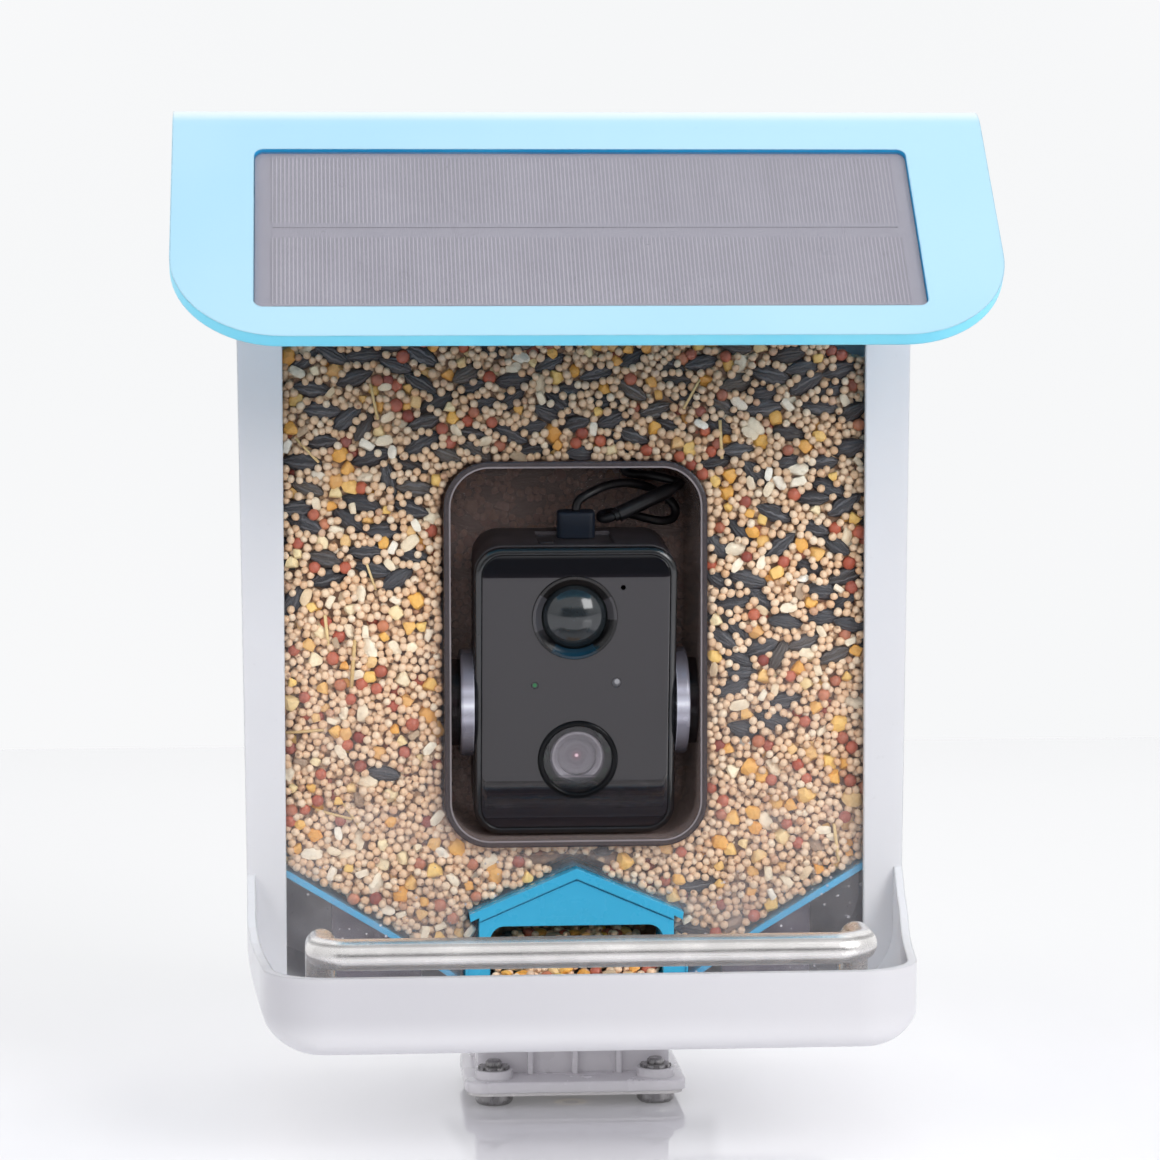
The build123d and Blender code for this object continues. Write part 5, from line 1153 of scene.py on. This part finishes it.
def seed_look(name, stops, rough=0.5, hilum=None, shade=(0.25, 0.14, 0.07, 1), paler=0.12, stripes=False, glow=0.0):
    """A kind of seed: each takes its own tone, with mottling, a scar at one end, or ribs and streaks along it."""
    k = Look(name)
    pick = k.node("Attribute", attribute_name="pick", attribute_type="GEOMETRY")
    own = k.node("Attribute", attribute_name="own", attribute_type="GEOMETRY")
    sp = k.node("SeparateColor")
    k.put(sp.inputs[0], pick.outputs["Color"])
    ox = k.xyz(own.outputs["Vector"])
    fine = k.noise(1300, 3, 0.6)
    c = k.ramp(sp.outputs[0], stops)
    c = k.mix(k.span(fine, 0.40, 0.80, 0, 0.25), c, k.mix(0.5, c, shade))
    if paler:
        c = k.mix(k.math("MULTIPLY", sp.outputs[1], paler), c, (0.92, 0.84, 0.74, 1), "MIX")
    # less light comes in under the eave
    c = k.mix(k.span(k.xyz()[2], 0.145, 0.215, 0.0, 0.40), c, k.mix(0.9, c, (0.03, 0.016, 0.010, 1)))
    h = fine
    if hilum:
        spot = k.span(ox[0], 0.80, 0.94)
        c = k.mix(k.math("MULTIPLY", spot, 0.75), c, hilum)
    if stripes:
        ang = k.math("ARCTAN2", ox[2], ox[1])
        wob = k.math("ADD", k.math("MULTIPLY", ang, 5.0), k.math("MULTIPLY", k.noise(500, 2), 5.0))
        st = k.span(k.math("SINE", wob), 0.45, 0.95)
        st = k.math("MULTIPLY", st, k.span(sp.outputs[1], 0.1, 0.9, 0.05, 0.55))
        c = k.mix(st, c, srgb(108, 107, 111))
        tip = k.span(k.math("ABSOLUTE", ox[0]), 0.84, 0.98, 0, 0.4)
        c = k.mix(tip, c, srgb(96, 90, 86))
        h = k.math("ADD", k.math("MULTIPLY", k.math("SINE", k.math("ADD", k.math("MULTIPLY", ang, 11.0), k.math("MULTIPLY", k.noise(420, 2), 6.0))), 0.7), k.math("MULTIPLY", fine, 0.8))
    n = k.bump(h, 0.45, 0.0003)
    r = k.span(fine, 0.3, 0.7, rough - 0.07, rough + 0.1)
    return k.done(k.principled(c, r, n, Subsurface_Weight=glow, Subsurface_Radius=(0.0012, 0.0008, 0.0005), Subsurface_Scale=1.0) if glow else k.principled(c, r, n))


millet_mat = seed_look("millet", [(0.0, srgb(236, 202, 168)), (0.35, srgb(228, 188, 150)), (0.62, srgb(240, 212, 182)), (0.80, srgb(220, 174, 132)), (0.93, srgb(242, 222, 196)), (1.0, srgb(196, 142, 106))], 0.38, srgb(120, 74, 44))
milo_mat = seed_look("milo", [(0.0, srgb(172, 78, 56)), (0.4, srgb(190, 98, 68)), (0.7, srgb(140, 62, 52)), (1.0, srgb(204, 130, 94))], 0.35, srgb(60, 28, 22), shade=(0.10, 0.03, 0.02, 1), paler=0.05)
sun_mat = seed_look("sunflower", [(0.0, srgb(56, 56, 61)), (0.5, srgb(70, 70, 75)), (0.85, srgb(48, 47, 51)), (1.0, srgb(92, 84, 79))], 0.48, None, shade=(0.01, 0.01, 0.012, 1), paler=0.0, stripes=True)
corn_mat = seed_look("corn", [(0.0, srgb(240, 184, 84)), (0.30, srgb(228, 158, 66)), (0.50, srgb(246, 206, 118)), (0.70, srgb(224, 168, 100)), (0.85, srgb(244, 220, 166)), (1.0, srgb(248, 234, 206))], 0.40, shade=(0.35, 0.14, 0.03, 1), paler=0.06)
chip_mat = seed_look("chip", [(0.0, srgb(248, 238, 218)), (0.45, srgb(234, 214, 184)), (0.7, srgb(250, 246, 236)), (0.88, srgb(224, 196, 158)), (1.0, srgb(140, 112, 92))], 0.55, shade=(0.45, 0.33, 0.22, 1))
straw_mat = seed_look("straw", [(0.0, srgb(230, 200, 140)), (1.0, srgb(206, 168, 106))], 0.5)

groups = {}
for it in pack.placed:
    groups.setdefault((it[0], it[4] if it[0] == "millet" else 0), []).append(it)
seed_pieces = []
for (kind, level), items in sorted(groups.items()):
    if kind == "millet":
        shape = [ICO2] if level == 0 else [OCTA]
        per = 2300 if level == 0 else 5500
        for i in range(0, len(items), per):
            seed_pieces.append(seed_piece("millet_%d_%d" % (level, i // per), items[i:i + per], shape, millet_mat))
    elif kind == "milo":
        seed_pieces.append(seed_piece("milo_seeds", items, [ICO2], milo_mat))
    elif kind == "sunflower":
        seed_pieces.append(seed_piece("sunflower_seeds", items, [SUN], sun_mat))
    elif kind == "corn":
        seed_pieces.append(seed_piece("cracked_corn", items, CORN, corn_mat))
    elif kind == "chip":
        seed_pieces.append(seed_piece("pale_chips", items, CHIP, chip_mat))
    else:
        seed_pieces.append(seed_piece("straws", items, [lathe([(-1, 0), (-0.98, 1), (0.98, 1), (1, 0)], 5)], straw_mat))
    print(kind, level, len(items))

# the mass behind the visible seeds
bulk = fill.copy()
bm = bmesh.new()
bm.from_mesh(bulk)
bm.normal_update()
shift = [(v, v.normal.copy() * (-0.0036 * min(v.calc_shell_factor(), 1.8))) for v in bm.verts]
for v, d in shift:
    v.co += d
bm.to_mesh(bulk)
bm.free()
bulk.materials.clear()
k = Look("seed_mass")
vor = k.voronoi(390)
col = k.node("SeparateColor")
k.put(col.inputs[0], k.voronoi(390, "F1", "Color"))
c = k.ramp(col.outputs[0], [(0.0, srgb(214, 178, 142)), (0.4, srgb(200, 160, 124)), (0.7, srgb(222, 188, 154)), (0.85, srgb(110, 96, 88)), (1.0, srgb(170, 116, 92))])
# painted shade: darker towards the edges of the cells, where the seeds meet
c = k.mix(k.span(vor, 0.25, 0.55), c, srgb(128, 98, 78))
bulk.materials.append(k.done(k.principled(c, 0.7, k.bump(k.math("MULTIPLY", vor, -1.0), 0.8, 0.001))))
bulk_o = bpy.data.objects.new("seed_mass", bulk)
scene.collection.objects.link(bulk_o)
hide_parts("seed_fill")
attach(bulk_o, "root")

# lamps set on the seeds and on what stands in the pocket
softbox("on_seeds", (0.20, -1.35, 0.34), (0, 0, 0.14), 1.5, 1.1, 13.5, mirrored=False, only=seed_pieces + [bulk_o, N["left_funnel_plate"], N["right_funnel_plate"]])
softbox("in_pocket", (0.10, -1.2, 0.30), (0, 0, 0.14), 0.7, 0.7, 16, mirrored=False, only=[N["camera_rear_shell"], N["camera_tub"], N["pivot_discs"], N["lens_barrel"], N["status_led"], N["light_sensor"]])

softbox("on_bracket", (-0.3, -1.0, 0.16), (0, 0, 0.02), 0.9, 0.3, 1.9, mirrored=False, only=[N["mount_bracket"]])
softbox("on_pad", (-0.3, -1.0, 0.16), (0, 0, 0.02), 0.9, 0.3, 3.0, mirrored=False, only=[N["mount_pad"], N["lock_washers"]])

# ---------------------------------------------------------------- last lines
{"cad": cad_box, "visual": plain(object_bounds())}
